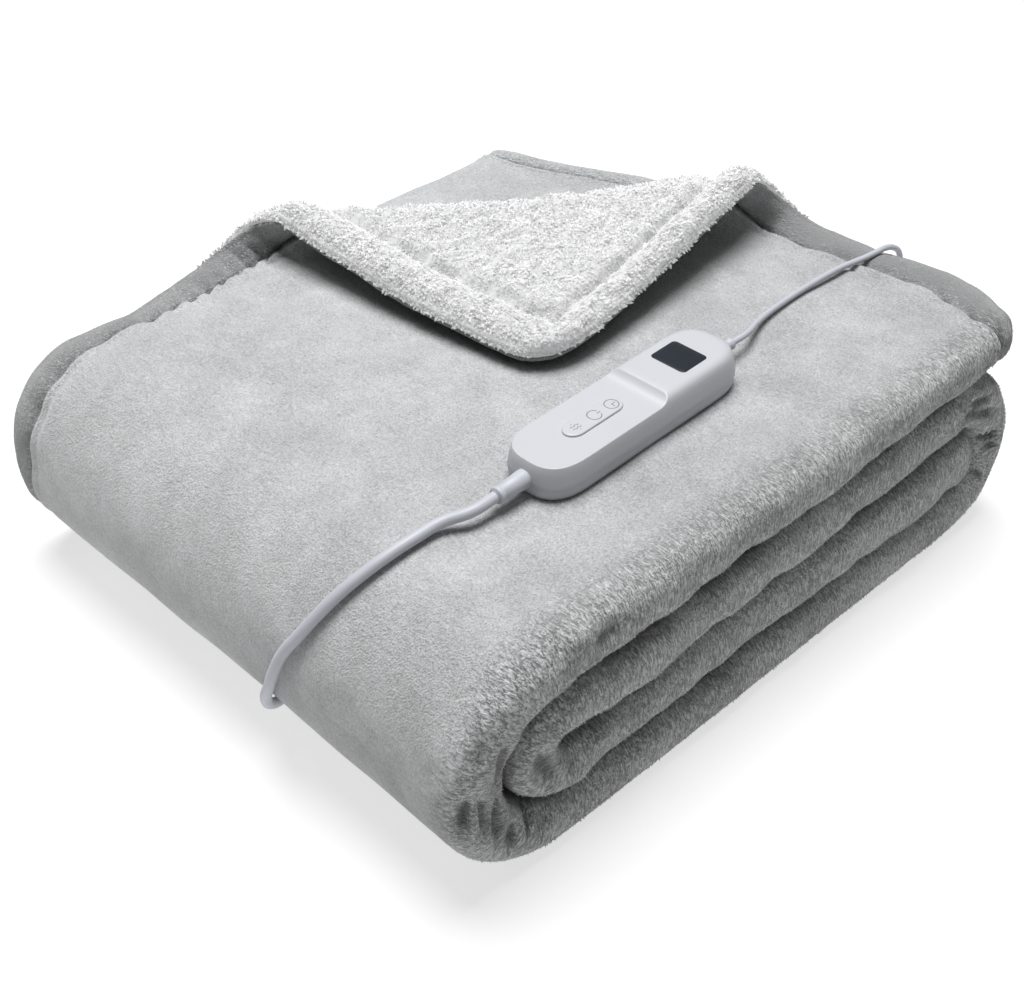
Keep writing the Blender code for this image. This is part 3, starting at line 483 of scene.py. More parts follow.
BACK_COLUMNS = marks(
    (0.240, 0.0016), (PLY_ENDS[0], 0.0100), (PLY_ENDS[1], 0.0060), (PLY_ENDS[2], 0.0200),
    (PLY_ENDS[3], 0.0060), (PLY_ENDS[4], 0.0200),
)
# The least cell that a panel's hidden side keeps, along and across.
HIDDEN_STEPS = (0.0095, 0.0080)


def thinned(cells, step):
    """Which cell edges a hidden side keeps: both ends, and the others at least a step apart."""
    kept = [0]
    for k in range(1, len(cells) - 1):
        if cells[k] - cells[kept[-1]] >= step and cells[-1] - cells[k] >= step / 2:
            kept.append(k)
    return np.array([*kept, len(cells) - 1])


def unit(vectors):
    return vectors / np.maximum(np.linalg.norm(vectors, axis=1), 1e-9)[:, None]


def spread(rows, columns):
    """Every place of a grid on the flat cloth, along and across."""
    return [grid.ravel() for grid in np.meshgrid(rows, columns, indexing="ij")]


def sides_of(along, across, faces_out):
    """A panel's showing side at many places: its points, outward normals, and the face there."""
    over, under = folded(along, across, 0.0), folded(along, across, CLOTH_THICK)
    normal = unit(over - under)
    over += normal * pressed(along, across, over, normal)[:, None]
    inward = np.minimum(along, across)
    edge = np.minimum(inward, np.minimum(THROW_LENGTH - along, THROW_WIDTH - across))
    pinch = 1 - smooth(edge / PINCH_REACH)
    if faces_out:
        lift = swellings(inward, HEM_FACE) - FACE_PINCH * pinch
    else:
        lift = -CLOTH_THICK - swellings(inward, HEM_BACK) + BACK_PINCH * pinch
    outer = over + normal * lift[:, None]
    outer[:, 2] = np.maximum(outer[:, 2], 0.0)
    return outer, normal if faces_out else -normal, over


def parted(across):
    """How far the pile is parted open: wholly round the outer fold, and not on the flat plies."""
    opens = smooth((across - PLY_ENDS[0] + PARTS_AHEAD) / PARTS_OVER)
    return opens * (1 - smooth((across - PLY_ENDS[1]) / PARTS_FADE))


def at_hem(flat):
    """How far a place lies within the hem, whose pile opens over its roundness."""
    return 1 - smooth((flat.min(1) - HEM_ROUND) / HEM_ROUND_FADE)


def keep(mesh, name, values):
    """Keeps a number or a vector for each point of a mesh."""
    kind, field = ("FLOAT", "value") if values.ndim == 1 else ("FLOAT_VECTOR", "vector")
    mesh.attributes.new(name, kind, "POINT").data.foreach_set(field, values.ravel())


def opened(flat):
    """How far the pile is parted at a place: round the outer fold, and a little on the hem."""
    return np.maximum(parted(flat[:, 1]), HEM_PARTED * at_hem(flat))


def keep_cloth(mesh, flat, open_pile):
    """Keeps each point's place on the flat cloth, and how far its pile is parted."""
    keep(mesh, "flat", np.pad(flat, ((0, 0), (0, 1))))
    keep(mesh, "parted", open_pile)


def read(items, field):
    """A vector of each item, as rows."""
    found = np.empty(len(items) * 3)
    items.foreach_get(field, found)
    return found.reshape(-1, 3)


def grid_faces(index):
    """Four-sided faces over a grid of point numbers."""
    corners = index[:-1, :-1], index[1:, :-1], index[1:, 1:], index[:-1, 1:]
    return np.stack(corners, -1).reshape(-1, 4)


def cloth_mesh(name, outer, inner, laid, kept):
    """A closed sheet of two point grids, sewn round their rims, with the flat cloth as its UV map.

    The hidden inner grid keeps only some rows and columns, so the faces between the rims have
    many sides.
    """
    keep_rows, keep_columns = kept
    last_row, last_column = outer.shape[0] - 1, outer.shape[1] - 1
    over = np.arange(outer[..., 0].size).reshape(outer.shape[:2])
    under = np.arange(len(keep_rows) * len(keep_columns)).reshape(len(keep_rows), -1) + over.size
    rims = (
        (over[:, 0], under[:, 0], keep_rows),
        (over[-1], under[-1], keep_columns),
        (over[::-1, -1], under[::-1, -1], last_row - keep_rows[::-1]),
        (over[0, ::-1], under[0, ::-1], last_column - keep_columns[::-1]),
    )
    faces = [*grid_faces(over), *grid_faces(under)[:, ::-1]]
    for fine, coarse, at in rims:
        for k in range(len(at) - 1):
            faces.append([*fine[at[k]:at[k + 1] + 1][::-1], coarse[k], coarse[k + 1]])
    corners = np.concatenate(faces)
    hidden = np.ix_(keep_rows, keep_columns)
    points = np.concatenate([outer.reshape(-1, 3), inner[hidden].reshape(-1, 3)])
    mesh = bpy.data.meshes.new(name)
    mesh.vertices.add(len(points))
    mesh.vertices.foreach_set("co", points.ravel())
    mesh.loops.add(len(corners))
    mesh.loops.foreach_set("vertex_index", corners)
    mesh.polygons.add(len(faces))
    mesh.polygons.foreach_set("loop_start", np.cumsum([0, *(len(face) for face in faces[:-1])]))
    mesh.update(calc_edges=True)
    flat = np.concatenate([laid.reshape(-1, 2), laid[hidden].reshape(-1, 2)])
    mesh.uv_layers.new(name="cloth").data.foreach_set("uv", flat[corners].ravel())
    keep_cloth(mesh, flat, opened(flat))
    mesh.shade_smooth()
    turned = bmesh.new()
    turned.from_mesh(mesh)
    bmesh.ops.recalc_face_normals(turned, faces=turned.faces)
    turned.to_mesh(mesh)
    turned.free()
    return mesh


def panel_mesh(name, rows, columns, faces_out, shape=None):
    """A cut panel, folded with the throw. shape moves its outer side: it takes and gives points."""
    along, across = spread(rows, columns)
    outer, normal, base = sides_of(along, across, faces_out)
    if shape:
        outer = shape(along, across, outer, normal)
    through = FACE_THICK if faces_out else FACE_THICK + PANEL_GAP
    inner = base - (normal if faces_out else -normal) * through
    grids = (grid.reshape(len(rows), len(columns), -1)
             for grid in (outer, inner, np.stack([along, across], -1)))
    return cloth_mesh(name, *grids, [thinned(*side) for side in zip((rows, columns), HIDDEN_STEPS)])


# ---- how open the cloth lies, and its painted shade ------------------------------------------
OPEN_REACH = 0.034
OPEN_RAYS = 40
RAY_START = 0.0007
LEAST_FACING = 0.25
# How much a ray that meets cloth at its full reach still counts as open.
FAR_SHARE = 0.6
# How much painted shade closes a crease's trough, and how deep it is where it is wholly so.
TROUGH_CLOSED = 0.7
TROUGH_DEPTH = 0.0045
# How open the ply that the rolled corner has bared is painted, so its painted shade is lighter:
# from where past the roll's start, what it fades over, and the height that its face is above.
BARED_OPEN = 0.85
BARED_FROM = 0.004
BARED_FADE = 0.012
BARED_ABOVE = 0.115


def looks_round(count):
    """Directions spread evenly over a ball."""
    k = np.arange(count) + 0.5
    up = 1 - 2 * k / count
    turn = math.pi * (1 + 5 ** 0.5) * k
    flat = np.sqrt(1 - up * up)
    return np.stack([flat * np.cos(turn), flat * np.sin(turn), up], 1)


def openness(points, normals, tree):
    """How open each point lies, from 0 deep in a fold to 1 on a clear surface."""
    rays = looks_round(OPEN_RAYS)
    facing = normals @ rays.T
    found = np.empty(len(points))
    vectors = [Vector(ray) for ray in rays]
    for k, (point, normal) in enumerate(zip(points, normals)):
        start = Vector(point + normal * RAY_START)
        whole = clear = 0.0
        for ray in np.flatnonzero(facing[k] > LEAST_FACING):
            share = facing[k, ray]
            far = tree.ray_cast(start, vectors[ray], OPEN_REACH)[3]
            whole += share
            clear += share if far is None else share * FAR_SHARE * far / OPEN_REACH
        found[k] = clear / whole
    # Crease troughs get deeper painted shade.
    return found * (1 - TROUGH_CLOSED * smooth(-creased(points, normals) / TROUGH_DEPTH))


def mark_open(mesh, tree):
    """Keeps how open each point lies as its shade, which is painted into the cloth's colour."""
    points, normals = read(mesh.vertices, "co"), read(mesh.vertices, "normal")
    past = roll_place(*(points + CENTRE)[:, :2].T)[1]
    bared = smooth((past - BARED_FROM) / BARED_FADE) * (points[:, 2] > BARED_ABOVE)
    bared *= normals[:, 2] > 0.5
    keep(mesh, "shade", np.maximum(openness(points, normals, tree), BARED_OPEN * bared))


def mesh_tree(*meshes):
    """A search tree of the surfaces that shade each other, and of what the throw lies on."""
    points, faces = [], []
    for mesh in meshes:
        faces += [[corner + len(points) for corner in face.vertices] for face in mesh.polygons]
        points += [tuple(vertex.co) for vertex in mesh.vertices]
    faces.append([len(points) + k for k in range(4)])
    points += [(-1, -1, 0), (1, -1, 0), (1, 1, 0), (-1, 1, 0)]
    return BVHTree.FromPolygons(points, faces)


# ---- looks -----------------------------------------------------------------------------------


class Value:
    """A shader socket, so that sums on it read as plain expressions."""

    def __init__(self, look, socket):
        self.look = look
        self.socket = socket

    def out(self, name):
        return Value(self.look, self.socket.node.outputs[name])

    def maths(self, operation, *others):
        return self.look.maths(operation, self, *others)

    def __add__(self, other):
        return self.maths("ADD", other)

    def __sub__(self, other):
        return self.maths("SUBTRACT", other)

    def __rsub__(self, other):
        return self.look.maths("SUBTRACT", other, self)

    def __mul__(self, other):
        return self.maths("MULTIPLY", other)

    def __pow__(self, other):
        return self.maths("POWER", other)

    def __abs__(self):
        return self.maths("ABSOLUTE")

    __radd__ = __add__
    __rmul__ = __mul__

    def step(self, low, high):
        """From 0 below low to 1 above high, smoothly."""
        inputs = {"Value": self, "From Min": low, "From Max": high}
        return self.look.add("ShaderNodeMapRange", {"interpolation_type": "SMOOTHSTEP"}, inputs)


class Look:
    """A material being made, and the one way to add any node to it."""

    def __init__(self, name, **constants):
        self.made = bpy.data.materials.new(name)
        self.made.use_nodes = True
        self.tree = self.made.node_tree
        self.shader = self.tree.nodes["Principled BSDF"]
        self.drive(**constants)

    def feed(self, socket, value):
        if isinstance(value, Value):
            self.tree.links.new(value.socket, socket)
        else:
            socket.default_value = value

    def add(self, kind, settings=None, inputs=None):
        node = self.tree.nodes.new(kind)
        for key, value in (settings or {}).items():
            setattr(node, key, value)
        for key, value in (inputs or {}).items():
            self.feed(node.inputs[key], value)
        return Value(self, node.outputs[0])

    def drive(self, **sockets):
        for key, value in sockets.items():
            self.feed(self.shader.inputs[key.replace("_", " ")], value)
        return self.made

    def maths(self, operation, *inputs):
        return self.add("ShaderNodeMath", {"operation": operation}, dict(enumerate(inputs)))

    def place(self):
        return self.add("ShaderNodeTexCoord").out("Object")

    def kept(self, name, kind="Fac"):
        """What the piece's mesh keeps under a name."""
        return self.add("ShaderNodeAttribute", {"attribute_name": name}).out(kind)

    def split(self, vector):
        """A vector's X and Y."""
        parts = self.add("ShaderNodeSeparateXYZ", {}, {"Vector": vector})
        return parts.out("X"), parts.out("Y")

    def noise(self, vector, scale, detail=2.0, roughness=0.5, distortion=0.0):
        """Cloudy noise. A scale of three numbers stretches it."""
        if not isinstance(scale, float):
            vector = self.add("ShaderNodeMapping", {}, {"Vector": vector, "Scale": scale})
            scale = 1.0
        return self.add("ShaderNodeTexNoise", {}, {
            "Vector": vector, "Scale": scale, "Detail": detail, "Roughness": roughness,
            "Distortion": distortion,
        })

    def mix(self, share, first, second, blend="MIX"):
        settings = {"data_type": "RGBA", "blend_type": blend}
        node = self.add("ShaderNodeMix", settings, {0: share, 6: first, 7: second}).socket.node
        return Value(self, node.outputs[2])

    def with_painted_shade(self, colour, darkest):
        """A colour with painted shade, darker where the cloth lies in a fold."""
        light = darkest + (1 - darkest) * self.kept("shade").step(0.04, 0.80)
        channels = {"Red": light, "Green": light, "Blue": light}
        grey = self.add("ShaderNodeCombineColor", {}, channels)
        return self.mix(1.0, colour, grey, "MULTIPLY")

    def bump(self, height, distance, strength=1.0):
        inputs = {"Height": height, "Distance": distance, "Strength": strength}
        return self.add("ShaderNodeBump", {}, inputs)


def rgba(colour, share=1.0):
    return (*(channel * share for channel in colour), 1.0)


def plush_look(colour):
    """Short brushed pile: clouded where it has been stroked, with fine combed tufts."""
    look = Look("plush_face", Roughness=0.9, Sheen_Weight=0.5, Sheen_Roughness=0.5,
                Specular_IOR_Level=0.15)
    place, cloth = look.place(), look.kept("flat", "Vector")
    along, across = look.split(cloth)
    inward = along.maths("MINIMUM", across)
    clouds = look.noise(place, 13.0, 3.0, 0.55, 0.6)
    patches = look.noise(place, 55.0)
    combed = look.noise(cloth, (520.0, 150.0, 1.0), 2.0, 0.6)
    pile = look.noise(place, 650.0, 3.0, 0.65)
    fluff = look.noise(place, 1050.0, 2.0, 0.7)
    streaks = look.noise(cloth, (1050.0, 380.0, 1.0), 3.0, 0.62, 0.8)
    # Painted shade in the seam's sunk groove.
    seam = 1 - abs(inward - HEM_WIDTH).step(0.0006, 0.0030)
    # Painted shade: the hem is darker, except where it crosses the far ply.
    hem = (1 - inward.step(0.0190, 0.0255)) * (1 - across.step(0.62, 0.70))
    open_pile = look.kept("parted")
    # Painted light: the pile is lighter towards the back.
    painted_light_to_back = look.split(place)[1]
    tone = 0.5 + 0.8 * (clouds - 0.5) + 0.5 * (patches - 0.5)
    tone = tone + 0.5 * (combed - 0.5) + 0.9 * (pile - 0.5) + 1.7 * (fluff - 0.5)
    tone = tone + 0.7 * painted_light_to_back - 0.35 * seam - 0.60 * hem
    # The parted pile shows its streaks, deepened by painted shade and highlight between its tufts.
    tone = tone + open_pile * (4.6 * (streaks - 0.5) + 0.02)
    dark = look.mix(open_pile, rgba(colour, 0.64), rgba(colour, 0.40))
    light = look.mix(open_pile, rgba(colour, 1.32), rgba(colour, 1.46))
    height = 0.55 * pile + 0.30 * combed + 0.8 * fluff + 0.5 * look.noise(place, 240.0)
    height = height + 2.0 * open_pile * streaks
    return look.drive(
        Base_Color=look.with_painted_shade(look.mix(tone, dark, light), 0.16),
        Roughness=0.84 + 0.14 * pile,
        Normal=look.bump(height, 0.0016, 0.9),
    )


def sherpa_look(colour):
    """Thick curly pile, with painted shade a little greyer down between its curls. It glows
    faintly: painted light, for the light that white pile hands on from fibre to fibre.
    """
    look = Look(
        "sherpa_back", Roughness=0.95, Sheen_Weight=0.25, Sheen_Roughness=0.6,
        Specular_IOR_Level=0.12, Emission_Strength=0.30, Subsurface_Weight=1.0,
        Subsurface_Radius=(0.006, 0.006, 0.006), Subsurface_Scale=1.0,
    )
    place = look.place()
    curls = look.noise(place, 210.0, 3.0, 0.6, 1.2)
    fibres = look.noise(place, 900.0, 2.0, 0.6)
    tone = 0.55 + 0.6 * (curls - 0.5) + 0.4 * (fibres - 0.5)
    # Painted shade in the folds; the same colour glows as painted light.
    shown = look.with_painted_shade(look.mix(tone, rgba(colour, 0.94), rgba(colour, 1.04)), 0.66)
    return look.drive(
        Base_Color=look.mix(0.3, shown, (0.0, 0.0, 0.0, 1.0)),
        Emission_Color=shown,
        Normal=look.bump(curls + 0.4 * fibres, 0.0014, 0.6),
    )


def shell_look(colour):
    """Satin moulded plastic with a faint spark-eroded grain."""
    look = Look("white_shell", IOR=1.48, Coat_Roughness=0.3, Coat_Weight=0.12)
    place = look.place()
    grain = look.noise(place, 2600.0)
    wear = look.noise(place, 38.0)
    return look.drive(
        Base_Color=look.mix(wear, rgba(colour, 0.985), rgba(colour, 1.01)),
        Roughness=0.30 + 0.10 * wear + 0.04 * grain,
        Normal=look.bump(grain, 0.00005, 0.35),
    )


SIGNS = (
    # kind, along the pad, radius
    ("timer", 0.0138, 0.0037),
    ("power", 0.0012, 0.0037),
    ("heat", -0.0122, 0.0030),
)
SIGN_LINE = 0.00030
WAVE_HEIGHT = 0.00035
WAVE_PITCH = 0.00105


def stroke(beside, ahead, start, end):
    """How far a place lies from a straight line of a sign, which runs from start to end."""
    return abs(beside) + ahead.maths("LESS_THAN", start) + ahead.maths("GREATER_THAN", end)


def pad_look(colour, ink):
    """The keys' printed signs: a clock, a switch ring and three waves of heat."""
    look = Look("printed_keys", IOR=1.48)
    low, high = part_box("button_pad")
    centre = [(low[k] + high[k]) / 2 for k in range(3)]
    x, y = look.split(look.add("ShaderNodeMapping", {"vector_type": "TEXTURE"}, {
        "Vector": look.place(), "Location": centre, "Rotation": HAND_TURN.to_euler(),
    }))
    signs = []
    for kind, at, radius in SIGNS:
        u, v = x - at, y
        far = (u * u + v * v) ** 0.5
        if kind == "timer":
            ring = abs(far - radius)
            hands = stroke(v, u, 0.0, radius * 0.7), stroke(u, v, -radius * 0.6, 0.0)
            mark = ring.maths("MINIMUM", hands[0].maths("MINIMUM", hands[1]))
        elif kind == "power":
            ring = abs(far - radius)
            gap = u.maths("GREATER_THAN", radius * 0.5) * abs(v).maths("LESS_THAN", radius * 0.42)
            mark = (ring + gap).maths("MINIMUM", stroke(v, u, radius * 0.45, radius * 1.15))
        else:
            wave = v - WAVE_HEIGHT * (u * (2 * math.pi / radius / 0.9)).maths("SINE")
            mark = (wave + WAVE_PITCH).maths("PINGPONG", WAVE_PITCH)
            mark = mark + far.maths("GREATER_THAN", radius)
        signs.append(mark)
    drawn = signs[0]
    for mark in signs[1:]:
        drawn = drawn.maths("MINIMUM", mark)
    printed = 1 - drawn.step(SIGN_LINE * 0.45, SIGN_LINE * 1.1)
    return look.drive(
        Base_Color=look.mix(printed, rgba(colour), rgba(ink)),
        Roughness=0.36 + 0.12 * printed,
    )


def window_look(colour):
    """Dark glossy glass, faintly smeared."""
    look = Look("display_glass", IOR=1.5, Coat_Weight=0.6, Coat_Roughness=0.05)
    smear = look.noise(look.place(), 90.0, 3.0, 0.6)
    return look.drive(
        Base_Color=look.mix(smear, rgba(colour, 0.9), rgba(colour, 1.15)),
        Roughness=0.16 + 0.12 * smear,
    )


def cord_look(colour):
    """Soft white covering, very slightly rippled along its length."""
    look = Look("white_cord", IOR=1.5)
    place = look.place()
    ripple = look.noise(place, 160.0)
    grain = look.noise(place, 1900.0)
    return look.drive(
        Base_Color=look.mix(ripple, rgba(colour, 0.96), rgba(colour, 1.03)),
        Roughness=0.40 + 0.12 * ripple,
        Normal=look.bump(ripple + 0.3 * grain, 0.00012, 0.5),
    )


def strap_look(colour):
    """A woven strap: fine cross ribs."""
    look = Look("dark_strap", Roughness=0.85, Sheen_Weight=0.2)
    place = look.place()
    weave = (look.split(place)[0] * 6000.0).maths("SINE")
    fuzz = look.noise(place, 1500.0, 2.0, 0.6)
    return look.drive(
        Base_Color=look.mix(fuzz, rgba(colour, 0.7), rgba(colour, 1.5)),
        Normal=look.bump(0.5 * weave + fuzz, 0.0003, 0.6),
    )


def pin_look(colour):
    """Plated metal, brushed along the pin."""
    look = Look("plated_pin", Metallic=1.0)
    brushed = look.noise(look.place(), (60.0, 1500.0, 1500.0), 2.0, 0.6)
    return look.drive(
        Base_Color=look.mix(brushed, rgba(colour, 0.9), rgba(colour, 1.05)),
        Roughness=0.18 + 0.16 * brushed,
    )


def thread_look(colour):
    look = Look("hem_thread", Roughness=0.7)
    shade = look.noise(look.place(), 1500.0)
    return look.drive(Base_Color=look.mix(shade, rgba(colour, 0.55), rgba(colour, 0.75)))


def floor_look(colour):
    """A pale floor, lit from below as a light table is."""
    look = Look("pale_floor", Specular_IOR_Level=0.2, Emission_Color=(1.0, 1.0, 1.0, 1.0),
                Emission_Strength=0.66)
    cloud = look.noise(look.place(), 3.0)
    return look.drive(
        Base_Color=look.mix(cloud, rgba(colour, 0.995), rgba(colour)),
        Roughness=0.75 + 0.05 * cloud,
    )


# ---- pieces ----------------------------------------------------------------------------------


def linked(name, data, look, replaced=()):
    """Puts a finished piece in the scene, riding with the throw."""
    piece = bpy.data.objects.new(name, data)
    bpy.context.scene.collection.objects.link(piece)
    if look:
        data.materials.clear()
        data.materials.append(look)
    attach(piece, "root")
    if replaced:
        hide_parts(*replaced)
    return piece


def closed_mesh(name, made):
    """A mesh from a bmesh: doubles merged, faces turned outwards, smooth."""
    bmesh.ops.remove_doubles(made, verts=made.verts, dist=0.000005)
    bmesh.ops.recalc_face_normals(made, faces=made.faces)
    mesh = bpy.data.meshes.new(name)
    made.to_mesh(mesh)
    made.free()
    mesh.shade_smooth()
    return mesh


def skin(made, rings, place=(0, 0, 0), turn=None):
    """Joins rings of points one after another. A ring drawn in to its spine closes an end."""
    place = Vector(place)
    turn = turn or Matrix.Identity(3)
    loops = [[made.verts.new(place + turn @ Vector(point)) for point in ring] for ring in rings]
    for lower, upper in zip(loops, loops[1:]):
        for k in range(len(lower)):
            after = (k + 1) % len(lower)
            made.faces.new((lower[k], lower[after], upper[after], upper[k]))
    return loops


def skinned(name, rings, place, turn=None):
    """A closed mesh from rings of points that close their own ends."""
    made = bmesh.new()
    skin(made, rings, place, turn)
    return closed_mesh(name, made)


def circle(radius, height, sides):
    """A ring of points round Z."""
    turns = [2 * math.pi * side / sides for side in range(sides)]
    return [Vector((radius * math.cos(turn), radius * math.sin(turn), height)) for turn in turns]


def capped(name, rings, place=(0, 0, 0), turn=None):
    """A closed mesh from rings of points, with a flat face over each end."""
    made = bmesh.new()
    loops = skin(made, rings, place, turn)
    made.faces.new(loops[0])
    made.faces.new(loops[-1])
    return closed_mesh(name, made)


def lathe(name, profile, start, direction, steps=40):
    """Turns (radius, along) points about a line from start."""
    turn = Vector((0, 0, 1)).rotation_difference(Vector(direction)).to_matrix()
    return capped(name, [circle(radius, along, steps) for radius, along in profile], start, turn)


def bent_tube(name, points, radii, sides):
    """A small closed tube through points, thinner where its radii are."""
    points = [Vector(point) for point in points]
    rings = []
    for k, (point, radius) in enumerate(zip(points, radii)):
        ahead = (points[min(k + 1, len(points) - 1)] - points[max(k - 1, 0)]).normalized()
        turn = Vector((0, 0, 1)).rotation_difference(ahead).to_matrix()
        rings.append([point + turn @ at for at in circle(radius, 0, sides)])
    return capped(name, rings)


def lock(name, rings):
    """A three-sided tuft of pile, which closes to a point: (bent over, height, radius) rings."""
    return capped(name, [
        [at + Vector((bent, 0, 0)) for at in circle(radius, height, 3)]
        for bent, height, radius in rings
    ])


def rounded(half_x, half_y, corner, steps):
    """The outline of an oblong with round corners, as (x, y) points."""
    points = []
    for side_x, side_y, first in ((1, 1, 0), (-1, 1, 90), (-1, -1, 180), (1, -1, 270)):
        for step in range(steps + 1):
            angle = math.radians(first + 90 * step / steps)
            points.append((
                side_x * (half_x - corner) + corner * math.cos(angle),
                side_y * (half_y - corner) + corner * math.sin(angle),
            ))
    return points


def long_oval(length, width, power=2.7, steps=24, stations=()):
    """The outline of a long box with round ends: points, and where each shrinks to on its spine.

    The stations are extra places along its straight sides.
    """
    reach = width * 0.62
    straight = length / 2 - reach
    points = []
    for side, first in ((1, -90), (-1, 90)):
        for step in range(steps + 1):
            angle = math.radians(first + 180 * step / steps)
            cos, sin = abs(math.cos(angle)), math.sin(angle)
            y = width / 2 * math.copysign(abs(sin) ** (2 / power), sin)
            points.append((side * (straight + reach * cos ** (2 / power)), y, side * straight))
        for x in sorted(stations, reverse=side > 0):
            if abs(x) < straight:
                points.append((x, side * width / 2, x))
    return points


def shrunk(outline, inset, width, height):
    """One ring of a box with round ends: its outline drawn in towards its spine, at a height."""
    share = 1 - inset / (width / 2)
    return [(spine + (x - spine) * share, y * share, height) for x, y, spine in outline]


# ---- handset ---------------------------------------------------------------------------------
HAND_LENGTH = 0.148
HAND_WIDTH = 0.042
HAND_HEIGHT = 0.0225
PANEL_HEIGHT = 0.0188
HAND_PLACE = Vector((-0.0223, -0.0994, STACK_TOP + 0.0005)) - Vector(CENTRE)
HAND_TURN = Matrix.Rotation(math.radians(1.7), 3, "Z")
STEP_X = 0.0035
STEP_RUN = 0.0085
STEP_POWER = 2.2
# The pane and the pad: where along the handset, length and width, and the pane's corners.
WINDOW = (0.0405, 0.0200, 0.0225, 0.0025)
PAD = (-0.0250, 0.040, 0.0115)
GLAND_HEIGHT = 0.0090
GLAND_POCKET = 0.0040
PIECE_GAP = 0.0003
# Each lead's sleeve: which end of the handset, its length, and its share of the thicker one.
GLANDS = {"mains_gland": (-1, 0.0225, 1.0), "lead_gland": (1, 0.0155, 0.72)}
# Both shells' and the pad's edges, as how far in from the side and how high.
CROWN = (
    (0.0, 0.0071), (0.0002, 0.0095), (0.0005, 0.0122), (0.0008, 0.0143), (0.0011, 0.0160),
    (0.0014, 0.0172), (0.00155, 0.0177), (0.0017, 0.0182), (0.00185, 0.0187), (0.0020, 0.0191),
    (0.0023, 0.0197), (0.0027, 0.0204), (0.0032, 0.0210), (0.0038, 0.0215), (0.0045, 0.0219),
    (0.0053, 0.0222), (0.0062, 0.0224), (0.0075, 0.0225), (0.0100, 0.0225), (0.0135, 0.0225),
    (0.0175, 0.0225), (0.0210, 0.0225),
)
BASE = (
    (0.0210, 0.0), (0.0022, 0.0), (0.0014, 0.0004), (0.0009, 0.0013), (0.0005, 0.0030),
    (0.0003, 0.0066), (0.0004, 0.0069), (0.0210, 0.0069),
)
PAD_EDGE = (
    (0.00575, -0.0003), (0.0, -0.0003), (0.0, 0.0006), (0.00015, 0.0009), (0.0004, 0.0011),
    (0.0009, 0.00115), (0.00575, 0.00115),
)
# The pane's rings, as a share of its outline and a height.
PANE_RINGS = (
    (0.0, -0.0004), (1.0, -0.0004), (1.0, 0.00004), (0.985, 0.00012), (0.6, 0.00014),
    (0.0, 0.00014),
)
# The thicker sleeve from its end back: radius, and distance back.
GLAND = (
    (0.0, 0.0), (0.0032, 0.0), (0.0032, 0.0004), (0.0040, 0.0004), (0.0044, 0.0007),
    (0.0046, 0.0012), (0.0046, 0.0026), (0.0044, 0.0031), (0.0040, 0.0034), (0.0040, 0.0039),
    (0.0043, 0.0042), (0.0047, 0.0140),
)
GLAND_ROOT = 0.0050


def panel_level(x):
    """The key panel's height, which sweeps up in a hollow curve to the display half."""
    rise = max(0.0, (x - STEP_X) / STEP_RUN) ** STEP_POWER
    return PANEL_HEIGHT + (HAND_HEIGHT - PANEL_HEIGHT) * rise


def on_handset(x, height):
    """A place on the handset's own middle line."""
    return HAND_PLACE + HAND_TURN @ Vector((x, 0, height))


def make_handset(colours):
    shell = shell_look(colours.shell)
    stations = {*np.round(np.arange(-0.044, 0.0441, 0.0055), 5),
                *np.round(np.arange(0.003, 0.0126, 0.0004), 5)}
    outline = long_oval(HAND_LENGTH, HAND_WIDTH, stations=stations)
    upper = [
        [(x, y, min(z, panel_level(x))) for x, y, z in shrunk(outline, inset, HAND_WIDTH, height)]
        for inset, height in ((HAND_WIDTH / 2, CROWN[0][1]), *CROWN)
    ]
    lower = [shrunk(outline, inset, HAND_WIDTH, height) for inset, height in BASE]
    for name, rings, node in (("handset_upper_shell", upper, "handset_top"),
                              ("handset_lower_shell", lower, "handset_base")):
        linked(name, skinned(name, rings, HAND_PLACE, HAND_TURN), shell, [node])
    x, length, width = PAD
    oval = long_oval(length, width, power=2.0)
    rings = [shrunk(oval, inset, width, height) for inset, height in PAD_EDGE]
    pad = skinned("key_pad", rings, on_handset(x, PANEL_HEIGHT), HAND_TURN)
    linked("key_pad", pad, pad_look(colours.shell, colours.ink), ["button_pad"])
    x, length, width, corner = WINDOW
    edge = rounded(length / 2, width / 2, corner, 8)
    rings = [[(px * share, py * share, height) for px, py in edge] for share, height in PANE_RINGS]
    pane = skinned("display_pane", rings, on_handset(x, HAND_HEIGHT), HAND_TURN)
    linked("display_pane", pane, window_look(colours.display), ["display_window"])


def make_glands(colours):
    covering = cord_look(colours.cord)
    for node, (side, length, scale) in GLANDS.items():
        root = length - GLAND_POCKET - 0.0006
        back = [*GLAND, (GLAND_ROOT, root), (GLAND_ROOT, length), (0.0, length)]
        profile = [(radius * scale, length - far) for radius, far in back]
        start = on_handset(side * (HAND_LENGTH / 2 - GLAND_POCKET + PIECE_GAP), GLAND_HEIGHT)
        name = f"{node}_sleeve"
        sleeve = lathe(name, profile, start, HAND_TURN @ Vector((side, 0, 0)))
        linked(name, sleeve, covering, [node])


def sleeve_end(name, past=0.0):
    """Where a lead leaves its sleeve, or a little past it, in the same measure as the routes."""
    side, length, _ = GLANDS[name]
    reach = HAND_LENGTH / 2 - GLAND_POCKET + 2 * PIECE_GAP + length + past
    return tuple(on_handset(side * reach, GLAND_HEIGHT - past * 0.025) + Vector(CENTRE))


# ---- leads and plug --------------------------------------------------------------------------
CORD_D = 0.0060
LEAD_D = 0.0036
FLOOR_Z = CORD_D / 2 + 0.0006
CORD_Z = STACK_TOP + CORD_D / 2 + 0.0010
LEAD_Z = STACK_TOP + LEAD_D / 2 + 0.0010
COIL = (-0.020, 0.2390, 0.01005)
COIL_RADIUS = 0.0330
